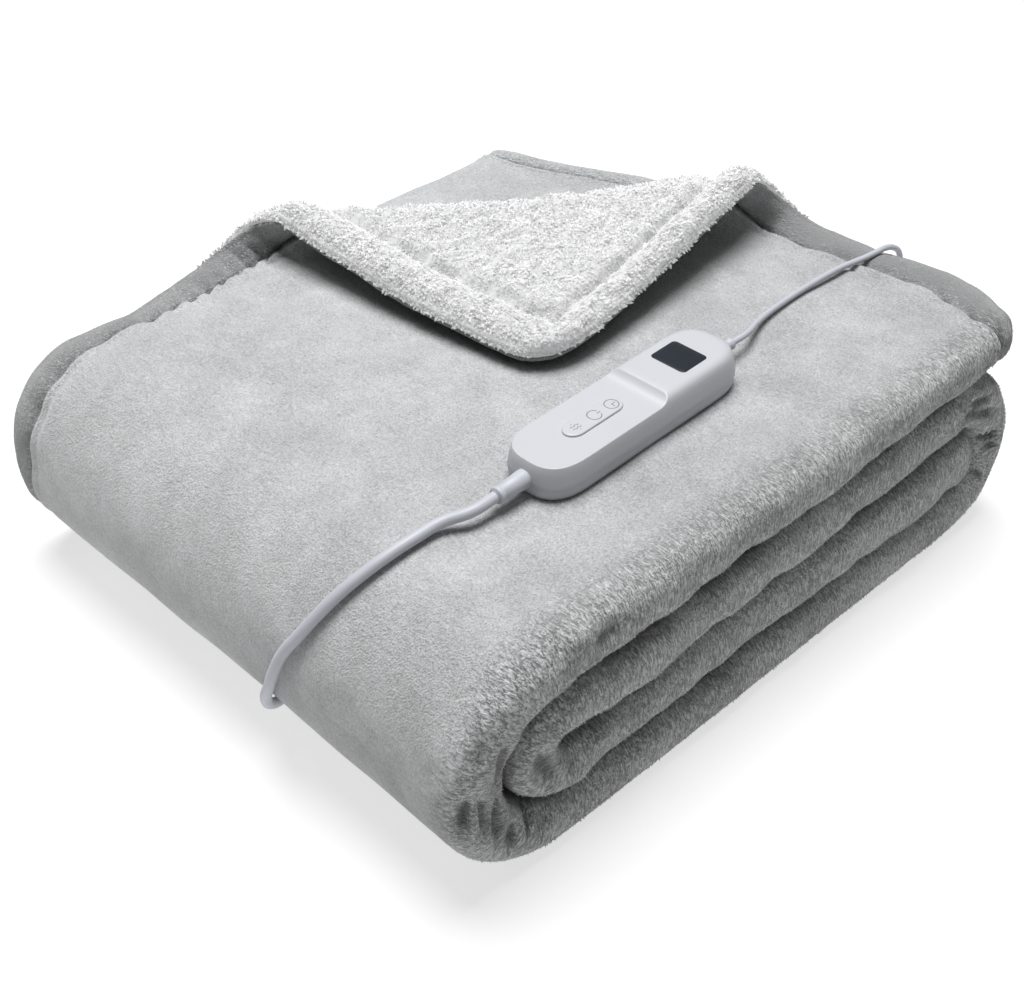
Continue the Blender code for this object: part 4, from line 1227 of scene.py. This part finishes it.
# Where the coil's turns lie in its bundle: out from the middle, and up.
COIL_PLACES = (
    (0.0061, -0.00525), (0.0, -0.00525), (-0.0061, -0.00525), (-0.00305, 0.0),
    (-0.0061, 0.00525), (0.0, 0.00525), (0.0061, 0.00525), (0.00305, 0.0),
)
PLUG = (0.090, 0.2095, 0.0078)
BODY_LENGTH = 0.0300
SLEEVE_LENGTH = 0.0200
PIN_LENGTH = 0.0190
PIN_SPACING = 0.0190
# The turns of the coil, in degrees, and when the lead first moves to the bundle's next place.
COIL_SWEEP = (-100, 2441, 20.0)
COIL_FIRST_MOVE = 72
COIL_MOVE = 36
# The mains lead's route: down the strip's big turn in degrees and Y, to the coil, and to the plug.
DOWN_THE_FOLD = (
    (8, -0.0925), (20, -0.0900), (40, -0.0830), (61, -0.0735),
    (75, -0.0650), (90, -0.0585), (106, -0.0480), (122, -0.0380),
)
TO_COIL = (
    (-0.1905, -0.0190, 0.0085), (-0.1820, 0.0080, FLOOR_Z), (-0.1805, 0.0500, FLOOR_Z),
    (-0.1810, 0.1000, FLOOR_Z), (-0.1835, 0.1450, FLOOR_Z), (-0.1840, 0.1800, FLOOR_Z),
    (-0.1690, 0.2040, FLOOR_Z), (-0.1250, 0.2105, FLOOR_Z), (-0.0850, 0.2062, 0.0048),
    (-0.0560, 0.2022, 0.0048), (-0.0400, 0.2004, 0.0048),
)
TO_PLUG = (
    (0.0060, 0.2045, 0.0095), (0.0290, 0.2075, 0.0082), (0.0497, 0.2095, PLUG[2]),
    (0.0617, 0.2095, PLUG[2]), (0.0694, 0.2095, PLUG[2]),
)
LEAD_ROUTE = (
    sleeve_end("lead_gland"), sleeve_end("lead_gland", 0.012), (0.0890, -0.0915, LEAD_Z + 0.0035),
    (0.1050, -0.0870, LEAD_Z + 0.0010), (0.1390, -0.0842, LEAD_Z), (0.1749, -0.0850, LEAD_Z),
    (0.1960, -0.0885, LEAD_Z), (0.2145, -0.0900, LEAD_Z - 0.0006),
    (0.2260, -0.0905, LEAD_Z - 0.0078), (0.2293, -0.0910, LEAD_Z - 0.0210),
    (0.2250, -0.0915, LEAD_Z - 0.0332), (0.2125, -0.0920, LEAD_Z - 0.0402),
    (0.2000, -0.0920, LEAD_Z - 0.0425),
)
# The plug's body as how far along it, its width and its height, and a pin as radius and length.
PLUG_BODY = (
    (0.0, 0.0, 0.0), (0.0, 0.0120, 0.0100), (0.0008, 0.0130, 0.0112), (0.0040, 0.0165, 0.0128),
    (0.0060, 0.0200, 0.0134), (0.0100, 0.0240, 0.0138), (0.0150, 0.0280, 0.0140),
    (0.0220, 0.0325, 0.0141), (BODY_LENGTH - 0.0020, 0.0350, 0.0140),
    (BODY_LENGTH - 0.0008, 0.0347, 0.0137), (BODY_LENGTH, 0.0330, 0.0120), (BODY_LENGTH, 0.0, 0.0),
)
PLUG_PIN = (
    (0, 0), (0.0020, 0), (0.0020, PIN_LENGTH - 0.0012), (0.0018, PIN_LENGTH - 0.0006),
    (0.0013, PIN_LENGTH), (0, PIN_LENGTH),
)
# The strap's loop: half its size in Y and Z and its corner, and its edge as X and how thick.
STRAP = (0.01045, 0.00855, 0.0048)
STRAP_EDGE = (
    (-0.0055, 0.0), (-0.0055, 0.0010), (-0.0050, 0.0012),
    (0.0050, 0.0012), (0.0055, 0.0010), (0.0055, 0.0),
)


def smooth_route(points, spacing):
    """Evenly spaced points on a smooth curve through a route's own points, and its length."""
    route = np.array(points, float)
    padded = np.vstack([2 * route[0] - route[1], route, 2 * route[-1] - route[-2]])
    fine = []
    for a, b, c, d in zip(padded, padded[1:], padded[2:], padded[3:]):
        t1 = math.sqrt(np.linalg.norm(b - a))
        t2 = t1 + math.sqrt(np.linalg.norm(c - b))
        t3 = t2 + math.sqrt(np.linalg.norm(d - c))
        for t in np.linspace(t1, t2, 12, endpoint=False):
            ab = a + (b - a) * t / t1
            bc = b + (c - b) * (t - t1) / (t2 - t1)
            cd = c + (d - c) * (t - t2) / (t3 - t2)
            first = ab + (bc - ab) * t / t2
            second = bc + (cd - bc) * (t - t1) / (t3 - t1)
            fine.append(first + (second - first) * (t - t1) / (t2 - t1))
    fine = np.array([*fine, route[-1]])
    lengths = np.concatenate([[0], np.cumsum(np.linalg.norm(np.diff(fine, axis=0), axis=1))])
    wanted = np.linspace(0, lengths[-1], max(4, round(lengths[-1] / spacing) + 1))
    return np.stack([np.interp(wanted, lengths, fine[:, k]) for k in range(3)], 1), lengths[-1]


def coil_turns():
    """The coil's turns, each in its place in the bundle."""
    places = np.array(COIL_PLACES)
    turned = np.arange(*COIL_SWEEP)
    moves = COIL_FIRST_MOVE + 360 * np.arange(len(places) - 1)
    share = smooth((turned[:, None] - moves) / COIL_MOVE)
    out, up = (places[0] + share @ np.diff(places, axis=0)).T
    angle = np.radians(turned)
    x, y, z = COIL
    return np.stack([
        x + (COIL_RADIUS + out) * np.cos(angle), y + (COIL_RADIUS + out) * np.sin(angle), z + up,
    ], 1).tolist()


def mains_route():
    """From the handset over the stack and down, to the coil behind it, and on to the plug."""
    reach = BIG_TURN_RADIUS + STRIP_THICK / 2 + CORD_D / 2 + 0.0012
    on_fold = []
    for degrees, y in DOWN_THE_FOLD:
        angle = math.radians(degrees)
        x = BIG_TURN_X - reach * math.sin(angle)
        on_fold.append((x, y, STACK_TOP / 2 + reach * math.cos(angle)))
    return [
        sleeve_end("mains_gland"), sleeve_end("mains_gland", 0.012),
        (-0.1400, -0.0955, CORD_Z + 0.0022), *on_fold, *TO_COIL, *coil_turns(), *TO_PLUG,
    ]


def cord_curve(name, points, thick):
    curve = bpy.data.curves.new(name, "CURVE")
    curve.dimensions = "3D"
    curve.bevel_depth = thick / 2
    curve.bevel_resolution = 5
    curve.resolution_u = 5
    curve.use_fill_caps = True
    line = curve.splines.new("BEZIER")
    line.bezier_points.add(len(points) - 1)
    for knot, point in zip(line.bezier_points, points):
        knot.co = point
        knot.handle_left_type = knot.handle_right_type = "AUTO"
    return curve


def make_leads(colours):
    covering = cord_look(colours.cord)
    points, mains_length = smooth_route(mains_route(), 0.0148)
    mains = linked("mains_flex", cord_curve("mains_flex", points - CENTRE, CORD_D), covering,
                   ["mains_lead", "mains_coil", "mains_tail"])
    points, lead_length = smooth_route(LEAD_ROUTE, 0.0090)
    lead = linked("throw_flex", cord_curve("throw_flex", points - CENTRE, LEAD_D), covering,
                  ["throw_lead"])
    on_cord = make_plug(colours)


def make_plug(colours):
    """The plug's moulded body and sleeve, its two pins, and the strap round the coil."""
    moulded, plated = cord_look(colours.cord), pin_look((0.78, 0.78, 0.76))
    woven = strap_look((0.035, 0.036, 0.040))
    place = Vector(PLUG) - Vector(CENTRE)
    ahead = Vector((1, 0, 0))
    rings = []
    for along, width, height in PLUG_BODY:
        section = long_oval(max(width, 1e-7), max(height, 1e-7), 2.6, 16)
        rings.append([(x, y, along) for x, y, _ in section])
    lie = Matrix(((0, 0, 1), (1, 0, 0), (0, 1, 0)))
    body = skinned("plug_moulding", rings, place, lie)
    made = [linked("plug_moulding", body, moulded, ["plug_body"])]
    for node, side in (("plug_pin_a", -1), ("plug_pin_b", 1)):
        start = place + Vector((BODY_LENGTH + PIECE_GAP, side * PIN_SPACING / 2, 0))
        pin = lathe(f"{node}_turned", PLUG_PIN, start, ahead, 24)
        made.append(linked(f"{node}_turned", pin, plated, [node]))
    profile = [(0, 0), (0.0034, 0), (0.0037, 0.0004)]
    for ridge in range(6):
        at = 0.0016 + ridge * 0.0028
        radius = 0.0038 + 0.00012 * ridge
        profile += [(radius, at), (radius + 0.0004, at + 0.0004), (radius + 0.0004, at + 0.0014),
                    (radius, at + 0.0018)]
    profile += [(0.0048, SLEEVE_LENGTH - 0.0008), (0.0048, SLEEVE_LENGTH), (0, SLEEVE_LENGTH)]
    start = place - Vector((SLEEVE_LENGTH + PIECE_GAP, 0, 0))
    sleeve = lathe("plug_strain_sleeve", profile, start, ahead, 32)
    made.append(linked("plug_strain_sleeve", sleeve, moulded, ["plug_sleeve"]))
    middle = Vector((COIL[0], COIL[1] + COIL_RADIUS, COIL[2])) - Vector(CENTRE)
    rings = []
    for x, grow in STRAP_EDGE:
        half_y, half_z, corner = (size + grow for size in STRAP)
        rings.append([(x, y, z) for y, z in rounded(half_y, half_z, corner, 6)])
    strap = skinned("coil_strap", [*rings, rings[0]], middle)
    made.append(linked("coil_strap", strap, woven, ["coil_tie"]))
    return made


# ---- what repeats ----------------------------------------------------------------------------
# The most tufts on a square metre, before the spacing thins them.
MOST_TUFTS = 1500000.0


class Tree:
    """A geometry tree being made, with named inputs."""

    def __init__(self, name, inputs):
        self.tree = bpy.data.node_groups.new(name, "GeometryNodeTree")
        self.tree.is_modifier = True
        face = self.tree.interface
        self.keys = {}
        for label, kind in {"Geometry": "Geometry", **inputs}.items():
            socket = face.new_socket(label, in_out="INPUT", socket_type=f"NodeSocket{kind}")
            self.keys[label] = socket.identifier
        face.new_socket("Geometry", in_out="OUTPUT", socket_type="NodeSocketGeometry")
        self.given = self.tree.nodes.new("NodeGroupInput").outputs

    def add(self, kind, settings=None, inputs=None):
        node = self.tree.nodes.new(kind)
        for key, value in (settings or {}).items():
            setattr(node, key, value)
        for key, value in (inputs or {}).items():
            fits = [socket for socket in node.inputs if socket.name == key and socket.enabled]
            socket = node.inputs[key] if isinstance(key, int) else fits[0]
            if isinstance(value, bpy.types.NodeSocket):
                self.tree.links.new(value, socket)
            else:
                socket.default_value = value
        return next(socket for socket in node.outputs if socket.enabled)

    def vector_named(self, name):
        """A vector that the ground keeps under a name."""
        kind = {"data_type": "FLOAT_VECTOR"}
        return self.add("GeometryNodeInputNamedAttribute", kind, {"Name": name})

    def finish(self, places, copied, rotation, material, sizes=None):
        """Sets the copied shape on its places, as plain geometry of one material."""
        shape = self.add("GeometryNodeObjectInfo", {}, {"Object": copied}).node
        inputs = {"Points": places, "Instance": shape.outputs["Geometry"], "Rotation": rotation}
        instances = self.add("GeometryNodeInstanceOnPoints", {}, {**inputs, **(sizes or {})})
        real = self.add("GeometryNodeRealizeInstances", {}, {"Geometry": instances})
        done = self.add("GeometryNodeSetMaterial", {}, {"Geometry": real, "Material": material})
        self.tree.links.new(done, self.tree.nodes.new("NodeGroupOutput").inputs[0])

    def grown(self, name, base, values):
        """The plain mesh that the tree makes on a base mesh. The base doesn't stay."""
        source = bpy.data.objects.new(f"{name}_base", base)
        bpy.context.scene.collection.objects.link(source)
        step = source.modifiers.new("grown", "NODES")
        step.node_group = self.tree
        for label, value in values.items():
            step[self.keys[label]] = value
        source.update_tag()
        ready = source.evaluated_get(bpy.context.evaluated_depsgraph_get())
        mesh = bpy.data.meshes.new_from_object(ready)
        mesh.name = name
        patterns = [value for value in values.values() if isinstance(value, bpy.types.Object)]
        for used in (source, *patterns):
            bpy.data.objects.remove(used, do_unlink=True)
        if not mesh.polygons:
            raise RuntimeError(f"{name} came out empty")
        mesh.shade_smooth()
        return mesh


def pattern(mesh):
    """A shape that a tree repeats. It is taken away once it has been used."""
    made = bpy.data.objects.new(mesh.name, mesh)
    bpy.context.scene.collection.objects.link(made)
    return made


def pile_tree():
    """Tufts scattered over a surface. Each lies as its ground's pile does, turned its own way."""
    grow = Tree("scattered_pile", {
        "Tuft": "Object", "Spacing": "Float", "Seed": "Int", "Least lean": "Vector",
        "Most lean": "Vector", "Least": "Float", "Most": "Float", "Pile": "Material",
    })
    given = grow.given
    places = grow.add("GeometryNodeDistributePointsOnFaces", {"distribute_method": "POISSON"}, {
        "Mesh": given["Geometry"], "Distance Min": given["Spacing"], "Density Max": MOST_TUFTS,
        "Seed": given["Seed"],
    })
    lie = grow.vector_named("lie")
    laid = grow.add("FunctionNodeAlignRotationToVector", {"axis": "Z"}, {"Vector": lie})
    lean = grow.add("FunctionNodeRandomValue", {"data_type": "FLOAT_VECTOR"}, {
        "Min": given["Least lean"], "Max": given["Most lean"], "Seed": given["Seed"],
    })
    facing = grow.add("FunctionNodeRotateRotation", {"rotation_space": "LOCAL"},
                      {"Rotation": laid, "Rotate By": lean})
    chance = grow.add("FunctionNodeRandomValue", {"data_type": "FLOAT"}, {
        "Min": given["Least"], "Max": given["Most"], "Seed": given["Seed"],
    })
    reach = grow.add("ShaderNodeVectorMath", {"operation": "LENGTH"}, {"Vector": lie})
    size = grow.add("ShaderNodeMath", {"operation": "MULTIPLY"}, {0: chance, 1: reach})
    grow.finish(places, given["Tuft"], facing, given["Pile"], {"Scale": size})
    return grow


def stitch_tree():
    """Stitches laid end to end along the hem's sunk line."""
    grow = Tree("hem_stitches", {"Stitch": "Object", "Pitch": "Float", "Thread": "Material"})
    given = grow.given
    line = grow.add("GeometryNodeMeshToCurve", {}, {"Mesh": given["Geometry"]})
    even = grow.add("GeometryNodeResampleCurve", {"mode": "LENGTH"},
                    {"Curve": line, "Length": given["Pitch"]})
    ahead = grow.add("GeometryNodeInputTangent")
    along = grow.add("FunctionNodeAlignRotationToVector", {"axis": "X"}, {"Vector": ahead})
    upright = grow.add("FunctionNodeAlignRotationToVector", {"axis": "Z", "pivot_axis": "X"},
                       {"Rotation": along, "Vector": grow.vector_named("face_up")})
    grow.finish(even, given["Stitch"], upright, given["Thread"])
    return grow


# ---- the cloth's own pieces ------------------------------------------------------------------
# How far along and across the back panel shows, on the rolled corner.
BACK_SHOWS = (0.32, 0.25)
# The lumps of its pile, as height, size and seed, and how far in from the rim they are whole.
LUMPS = ((0.0015, 0.0060, 5), (0.0009, 0.0036, 6), (0.0010, 0.013, 7))
LUMP_FADE = 0.004
# Where the face's pile stands as tufts: its name, how far along and across, and its spacing.
TUFTED = (
    ("front_pile", (0.0, THROW_LENGTH), (PLY_ENDS[0] - 0.014, PLY_ENDS[1] + 0.008), 0.00118),
    ("side_hem_pile", (0.150, RUN_ENDS[1] + 0.02), (0.0, 0.030), 0.0013),
    ("end_hem_pile", (0.0, 0.030), (0.150, PLY_ENDS[0] - 0.012), 0.0013),
)
# The cells of the tufts' and the locks' grounds, how deep their roots lie, and where tufts start.
TUFT_CELL = 0.0021
TUFT_ROOT = 0.0003
TUFTS_ABOVE = 0.0022
LOCK_CELL = 0.0020
LOCK_ROOT = 0.0006
# Where the hem's locks are longer, the groove where they are shorter, and where they wrap the rim.
LONG_WITHIN = 0.019
LONG_FADE = 0.006
GROOVE_AT = 0.0245
GROOVE_REACH = 0.0030
RIM_REACH = 0.0019
RIM_OUT = 0.0010
RIM_DOWN = 0.0032
SWIRL_SIZE = 0.011
HALF_TURN = 3.14
# One tuft and one lock, as how far each ring is bent over, its height and its radius.
TUFT = ((0.0, 0.0, 0.00036), (0.0003, 0.0015, 0.0))
LOCK = ((0.0, 0.0, 0.00090), (0.0005, 0.0011, 0.00080), (0.0014, 0.0019, 0.0))
# One stitch, as its place along half its length, how high it lies, and its radius.
STITCH = (
    (-1.0, -0.0004, 0.00012), (-0.8, 0.0, 0.00028), (0.0, 0.0001, 0.0003), (0.8, 0.0, 0.00028),
    (1.0, -0.0004, 0.00012),
)


def lumpy(along, across, points, normal):
    """The back panel's showing side: its pile stands up in uneven lumps away from the seam."""
    shown = (along < BACK_SHOWS[0]) & (across < BACK_SHOWS[1])
    inward = np.minimum(along, across)[shown]
    flat = np.stack([along, across, np.zeros_like(along)], -1)[shown]
    lumps = sum(height * noise_at(flat, size, seed) for height, size, seed in LUMPS)
    lift = np.zeros(len(along))
    lift[shown] = lumps * smooth(inward / LUMP_FADE)
    return points + normal * lift[:, None]


def make_cloth(settings):
    plush = plush_look(settings.plush)
    sherpa = sherpa_look(settings.sherpa)
    face_mesh = panel_mesh("plush_sheet", FACE_ROWS, FACE_COLUMNS, True)
    back_mesh = panel_mesh("sherpa_sheet", BACK_ROWS, BACK_COLUMNS, False, lumpy)
    tree = mesh_tree(face_mesh, back_mesh)
    mark_open(face_mesh, tree)
    mark_open(back_mesh, tree)
    face = linked("plush_sheet", face_mesh, plush, ["plush_panel"])
    back = linked("sherpa_sheet", back_mesh, sherpa, ["sherpa_panel"])
    on_face = [make_tufts(settings, plush, tree, *part) for part in TUFTED]
    on_face.append(make_stitches(settings))
    locks = make_locks(settings, sherpa, tree)


def lying(points, normal, comb, upright, seed):
    """Which way pile lies: out of the surface, combed over it, and swirled from place to place."""
    swirl = np.stack([noise_at(points, SWIRL_SIZE, seed + k) for k in range(3)], 1)
    way = comb + swirl
    way -= normal * (way * normal).sum(1)[:, None]
    return unit(upright * normal + way)


def ground_mesh(name, points, normal, lie, flat, open_pile, quads, tree):
    """The ground that pile grows from. It keeps how its pile lies, and how open it is there."""
    used, placed = np.unique(quads, return_inverse=True)
    ground = bpy.data.meshes.new(name)
    ground.from_pydata(points[used].tolist(), [], placed.reshape(quads.shape).tolist())
    keep(ground, "lie", lie[used])
    facing = read(ground.vertices, "normal")
    keep(ground, "ground", facing * np.sign((facing * normal[used]).sum(1))[:, None])
    # How open the ground lies, painted as shade on its pile.
    keep(ground, "shade", openness(points[used], normal[used], tree))
    keep_cloth(ground, flat[used], open_pile[used])
    return ground


def settled(mesh, share):
    """Pile that takes the light much as its ground does: its normals lean towards the ground's."""
    own, ground = read(mesh.vertices, "normal"), read(mesh.attributes["ground"].data, "vector")
    mesh.normals_split_custom_set_from_vertices(unit((1 - share) * own + share * ground).tolist())
    return mesh


def grown_pile(name, ground, tuft, material, settings, spacing, lean, sizes, settle):
    """Pile grown from a ground: copies of one tuft, turned and sized at random."""
    values = {
        "Tuft": pattern(tuft), "Spacing": spacing, "Seed": settings.pile_seed,
        "Least lean": (-lean, -lean, -HALF_TURN), "Most lean": (lean, lean, HALF_TURN),
        "Least": sizes[0], "Most": sizes[1], "Pile": material,
    }
    return settled(pile_tree().grown(name, ground, values), settle)


def make_tufts(settings, material, tree, name, reach_along, reach_across, spacing):
    """Short combed tufts of the face's pile, where its edge or its folds show from the side."""
    rows, columns = (np.linspace(low, high, round((high - low) / TUFT_CELL) + 1)
                     for low, high in (reach_along, reach_across))
    along, across = spread(rows, columns)
    points, normal, _ = sides_of(along, across, True)
    points -= normal * TUFT_ROOT
    flat = np.stack([along, across], -1)
    hem, open_pile = at_hem(flat), parted(across)
    tall = np.where(hem > open_pile, 0.55 * hem, open_pile)
    down = np.tile((0.15, 0.0, -0.75), (len(points), 1))
    lie = lying(points, normal, down, 0.55, 11) * (0.15 + 0.85 * tall)[:, None]
    quads = grid_faces(np.arange(len(along)).reshape(len(rows), -1))
    clear = quads[points[quads][..., 2].min(1) > TUFTS_ABOVE]
    ground = ground_mesh(f"{name}_ground", points, normal, lie, flat, opened(flat), clear, tree)
    pile = grown_pile(name, ground, lock("one_tuft", TUFT), material, settings,
                      spacing, 0.35, (0.75, 1.25), 0.6)
    return linked(name, pile, None)


def make_locks(settings, material, tree):
    """Locks of curly pile where the back panel shows, a little longer along its edges."""
    rows, columns = marks((0.310, LOCK_CELL)), marks((0.245, LOCK_CELL))
    along, across = spread(rows, columns)
    points, normal, _ = sides_of(along, across, False)
    points = lumpy(along, across, points, normal) - normal * LOCK_ROOT
    grid = points.reshape(len(rows), len(columns), 3)
    to_end, to_side = (-np.gradient(grid, axis=axis).reshape(-1, 3) for axis in (0, 1))
    outward = unit(np.where((along < across)[:, None], to_end, to_side))
    flat = np.stack([along, across], -1)
    inward = flat.min(1)
    band = 1 - smooth((inward - LONG_WITHIN) / LONG_FADE)
    wrap = (1 - smooth(inward / RIM_REACH))[:, None]
    points += wrap * (RIM_OUT * outward - RIM_DOWN * normal)
    tall = 1 + 0.15 * band - 0.3 * swell(inward - GROOVE_AT, GROOVE_REACH)
    lie = lying(points, normal, 0.9 * band[:, None] * outward, 0.36, 21)
    lie = (lie - 0.5 * wrap * normal) * tall[:, None]
    quads = grid_faces(np.arange(len(along)).reshape(len(rows), -1))
    shown = quads[(past_roll(along, across)[quads] > -0.004).all(1)]
    unparted = np.zeros(len(points))
    ground = ground_mesh("lock_ground", points, normal, lie, flat, unparted, shown, tree)
    sizes = settings.lock_size * 0.75, settings.lock_size * 1.3
    pile = grown_pile("sherpa_locks", ground, lock("one_lock", LOCK), material, settings,
                      settings.lock_spacing, 0.22, sizes, 0.86)
    return linked("sherpa_locks", pile, None)


def make_stitches(settings):
    """The hem's topstitching, sunk in the pile on both of its showing edges."""
    side = np.linspace(HEM_WIDTH, THROW_LENGTH - HEM_WIDTH, 700)
    end = np.linspace(HEM_WIDTH, THROW_WIDTH - HEM_WIDTH, 460)
    along = np.concatenate([side, np.full_like(end, HEM_WIDTH)])
    across = np.concatenate([np.full_like(side, HEM_WIDTH), end])
    points, normal, _ = sides_of(along, across, True)
    edges = [(k, k + 1) for k in range(len(along) - 1) if k != len(side) - 1]
    line = bpy.data.meshes.new("stitch_line")
    line.from_pydata((points + normal * 0.0002).tolist(), edges, [])
    keep(line, "face_up", normal)
    half = settings.stitch_length / 2
    path = [(half * share, 0, up) for share, up, _ in STITCH]
    stitch = bent_tube("one_stitch", path, [radius for *_, radius in STITCH], 5)
    values = {"Stitch": pattern(stitch), "Pitch": settings.stitch_length * 1.35,
              "Thread": thread_look(settings.plush)}
    stitches = stitch_tree().grown("hem_stitches", line, values)
    return linked("hem_stitches", stitches, None)


# ---- stage -----------------------------------------------------------------------------------
CAMERA_AT = (-0.5241, -0.5271, 0.6311)
CAMERA_TO = (-0.04685, -0.0381, 0.06785)
CAMERA_LENS = 57.375
LIGHT_AT = (0.25, 0.50, 3.72)
LIGHT_TO = (0, 0, 0.05)
LIGHT_SIZE = 2.4
LIGHT_POWER = 195.0
FLOOR_HALF = 6


def aimed(name, data, at, to):
    """Puts a camera or a lamp at a place and turns it to another."""
    made = bpy.data.objects.new(name, data)
    bpy.context.scene.collection.objects.link(made)
    made.location = at
    made.rotation_euler = (Vector(to) - Vector(at)).to_track_quat("-Z", "Y").to_euler()
    return made


def make_stage(settings):
    scene = bpy.context.scene
    camera = bpy.data.cameras.new("camera")
    camera.lens = CAMERA_LENS
    camera.sensor_width = 36.0
    camera.sensor_fit = "HORIZONTAL"
    camera.clip_start = 0.02
    scene.camera = aimed("camera", camera, CAMERA_AT, CAMERA_TO)
    lamp = bpy.data.lights.new("key", "AREA")
    lamp.shape = "DISK"
    lamp.size = LIGHT_SIZE
    lamp.energy = LIGHT_POWER
    lamp.color = (1.0, 0.996, 1.0)
    aimed("key", lamp, LIGHT_AT, LIGHT_TO)
    world = bpy.data.worlds.new("studio")
    world.use_nodes = True
    sky = world.node_tree.nodes["Background"].inputs
    sky["Color"].default_value = (1.0, 1.0, 1.0, 1.0)
    sky["Strength"].default_value = settings.world_light
    scene.world = world
    scene.view_settings.view_transform = "Standard"
    far = FLOOR_HALF
    floor = bpy.data.meshes.new("floor")
    floor.from_pydata([(-far, -far, 0), (far, -far, 0), (far, far, 0), (-far, far, 0)], [],
                      [(0, 1, 2, 3)])
    floor.materials.append(floor_look(settings.floor))
    ground = bpy.data.objects.new("floor", floor)
    scene.collection.objects.link(ground)


# ---- settings, operators and panel -----------------------------------------------------------


def colour_setting(name, description, default):
    return FloatVectorProperty(name=name, description=description, default=default,
                               subtype="COLOR", size=3, min=0, max=1)


class ThrowColours(bpy.types.PropertyGroup):
    """Colours of the handset and its leads."""

    shell: colour_setting("Shell", "The handset's two shells", (0.51, 0.525, 0.55))
    ink: colour_setting("Key signs", "The signs printed on the keys", (0.13, 0.14, 0.16))
    display: colour_setting("Display", "The display's pane", (0.014, 0.020, 0.026))
    cord: colour_setting("Leads", "The leads, sleeves and plug", (0.48, 0.50, 0.54))


class ThrowCloth(bpy.types.PropertyGroup):
    """Colours and pile of the two panels, and the stage's floor and light."""

    plush: colour_setting("Plush", "The face panel's short pile", (0.52, 0.53, 0.535))
    sherpa: colour_setting("Sherpa", "The back panel's curly pile", (0.69, 0.693, 0.698))
    floor: colour_setting("Floor", "The plain floor", (0.36, 0.36, 0.36))
    lock_size: FloatProperty(
        name="Lock size", description="How large a lock of the curly pile is against its pattern",
        default=1.0, min=0.3, max=2,
    )
    lock_spacing: FloatProperty(
        name="Lock spacing", description="Least distance between two locks",
        default=0.0012, min=0.0008, max=0.02, unit="LENGTH",
    )
    pile_seed: IntProperty(
        name="Pile seed", description="Seed of the places and turns of the pile", default=4, min=0,
    )
    stitch_length: FloatProperty(
        name="Stitch length", description="Length of one stitch of the hem",
        default=0.0036, min=0.001, max=0.01, unit="LENGTH",
    )
    world_light: FloatProperty(
        name="Room light", description="Strength of the even light all round",
        default=0.15, min=0, max=5,
    )


class THROW_OT_stage(bpy.types.Operator):
    """Sets up the floor, the soft light and the camera"""

    bl_idname = "throw.stage"
    bl_label = "Stage"

    def execute(self, context):
        make_stage(context.scene.throw_cloth)
        return {"FINISHED"}


class THROW_OT_leads(bpy.types.Operator):
    """Makes both leads, the coil with its strap, and the plug"""

    bl_idname = "throw.leads"
    bl_label = "Leads and plug"

    def execute(self, context):
        make_leads(context.scene.throw_colours)
        return {"FINISHED"}


class THROW_OT_handset(bpy.types.Operator):
    """Makes the handset's shells, display pane, key pad and cord sleeves"""

    bl_idname = "throw.handset"
    bl_label = "Handset"

    def execute(self, context):
        make_handset(context.scene.throw_colours)
        make_glands(context.scene.throw_colours)
        return {"FINISHED"}


class THROW_OT_cloth(bpy.types.Operator):
    """Makes the folded throw: both panels, their pile and the hem's stitches"""

    bl_idname = "throw.cloth"
    bl_label = "Folded throw"

    def execute(self, context):
        make_cloth(context.scene.throw_cloth)
        return {"FINISHED"}


class THROW_PT_panel(bpy.types.Panel):
    """Lists the throw's settings and pieces"""

    bl_label = "Heated throw"
    bl_space_type = "VIEW_3D"
    bl_region_type = "UI"
    bl_category = "Throw"

    def draw(self, context):
        for group in (context.scene.throw_cloth, context.scene.throw_colours):
            for key in group.__annotations__:
                self.layout.prop(group, key)
        for operator in (THROW_OT_stage, THROW_OT_leads, THROW_OT_handset, THROW_OT_cloth):
            self.layout.operator(operator.bl_idname)


CLASSES = (
    ThrowColours, ThrowCloth, THROW_OT_stage, THROW_OT_leads, THROW_OT_handset, THROW_OT_cloth,
    THROW_PT_panel,
)


def register():
    for item in CLASSES:
        bpy.utils.register_class(item)
    bpy.types.Scene.throw_colours = PointerProperty(type=ThrowColours)
    bpy.types.Scene.throw_cloth = PointerProperty(type=ThrowCloth)


def unregister():
    del bpy.types.Scene.throw_cloth
    del bpy.types.Scene.throw_colours
    for item in reversed(CLASSES):
        bpy.utils.unregister_class(item)


def main():
    register()
    bpy.ops.throw.stage()
    bpy.ops.throw.leads()
    bpy.ops.throw.handset()
    bpy.ops.throw.cloth()


if __name__ == "__main__":
    main()
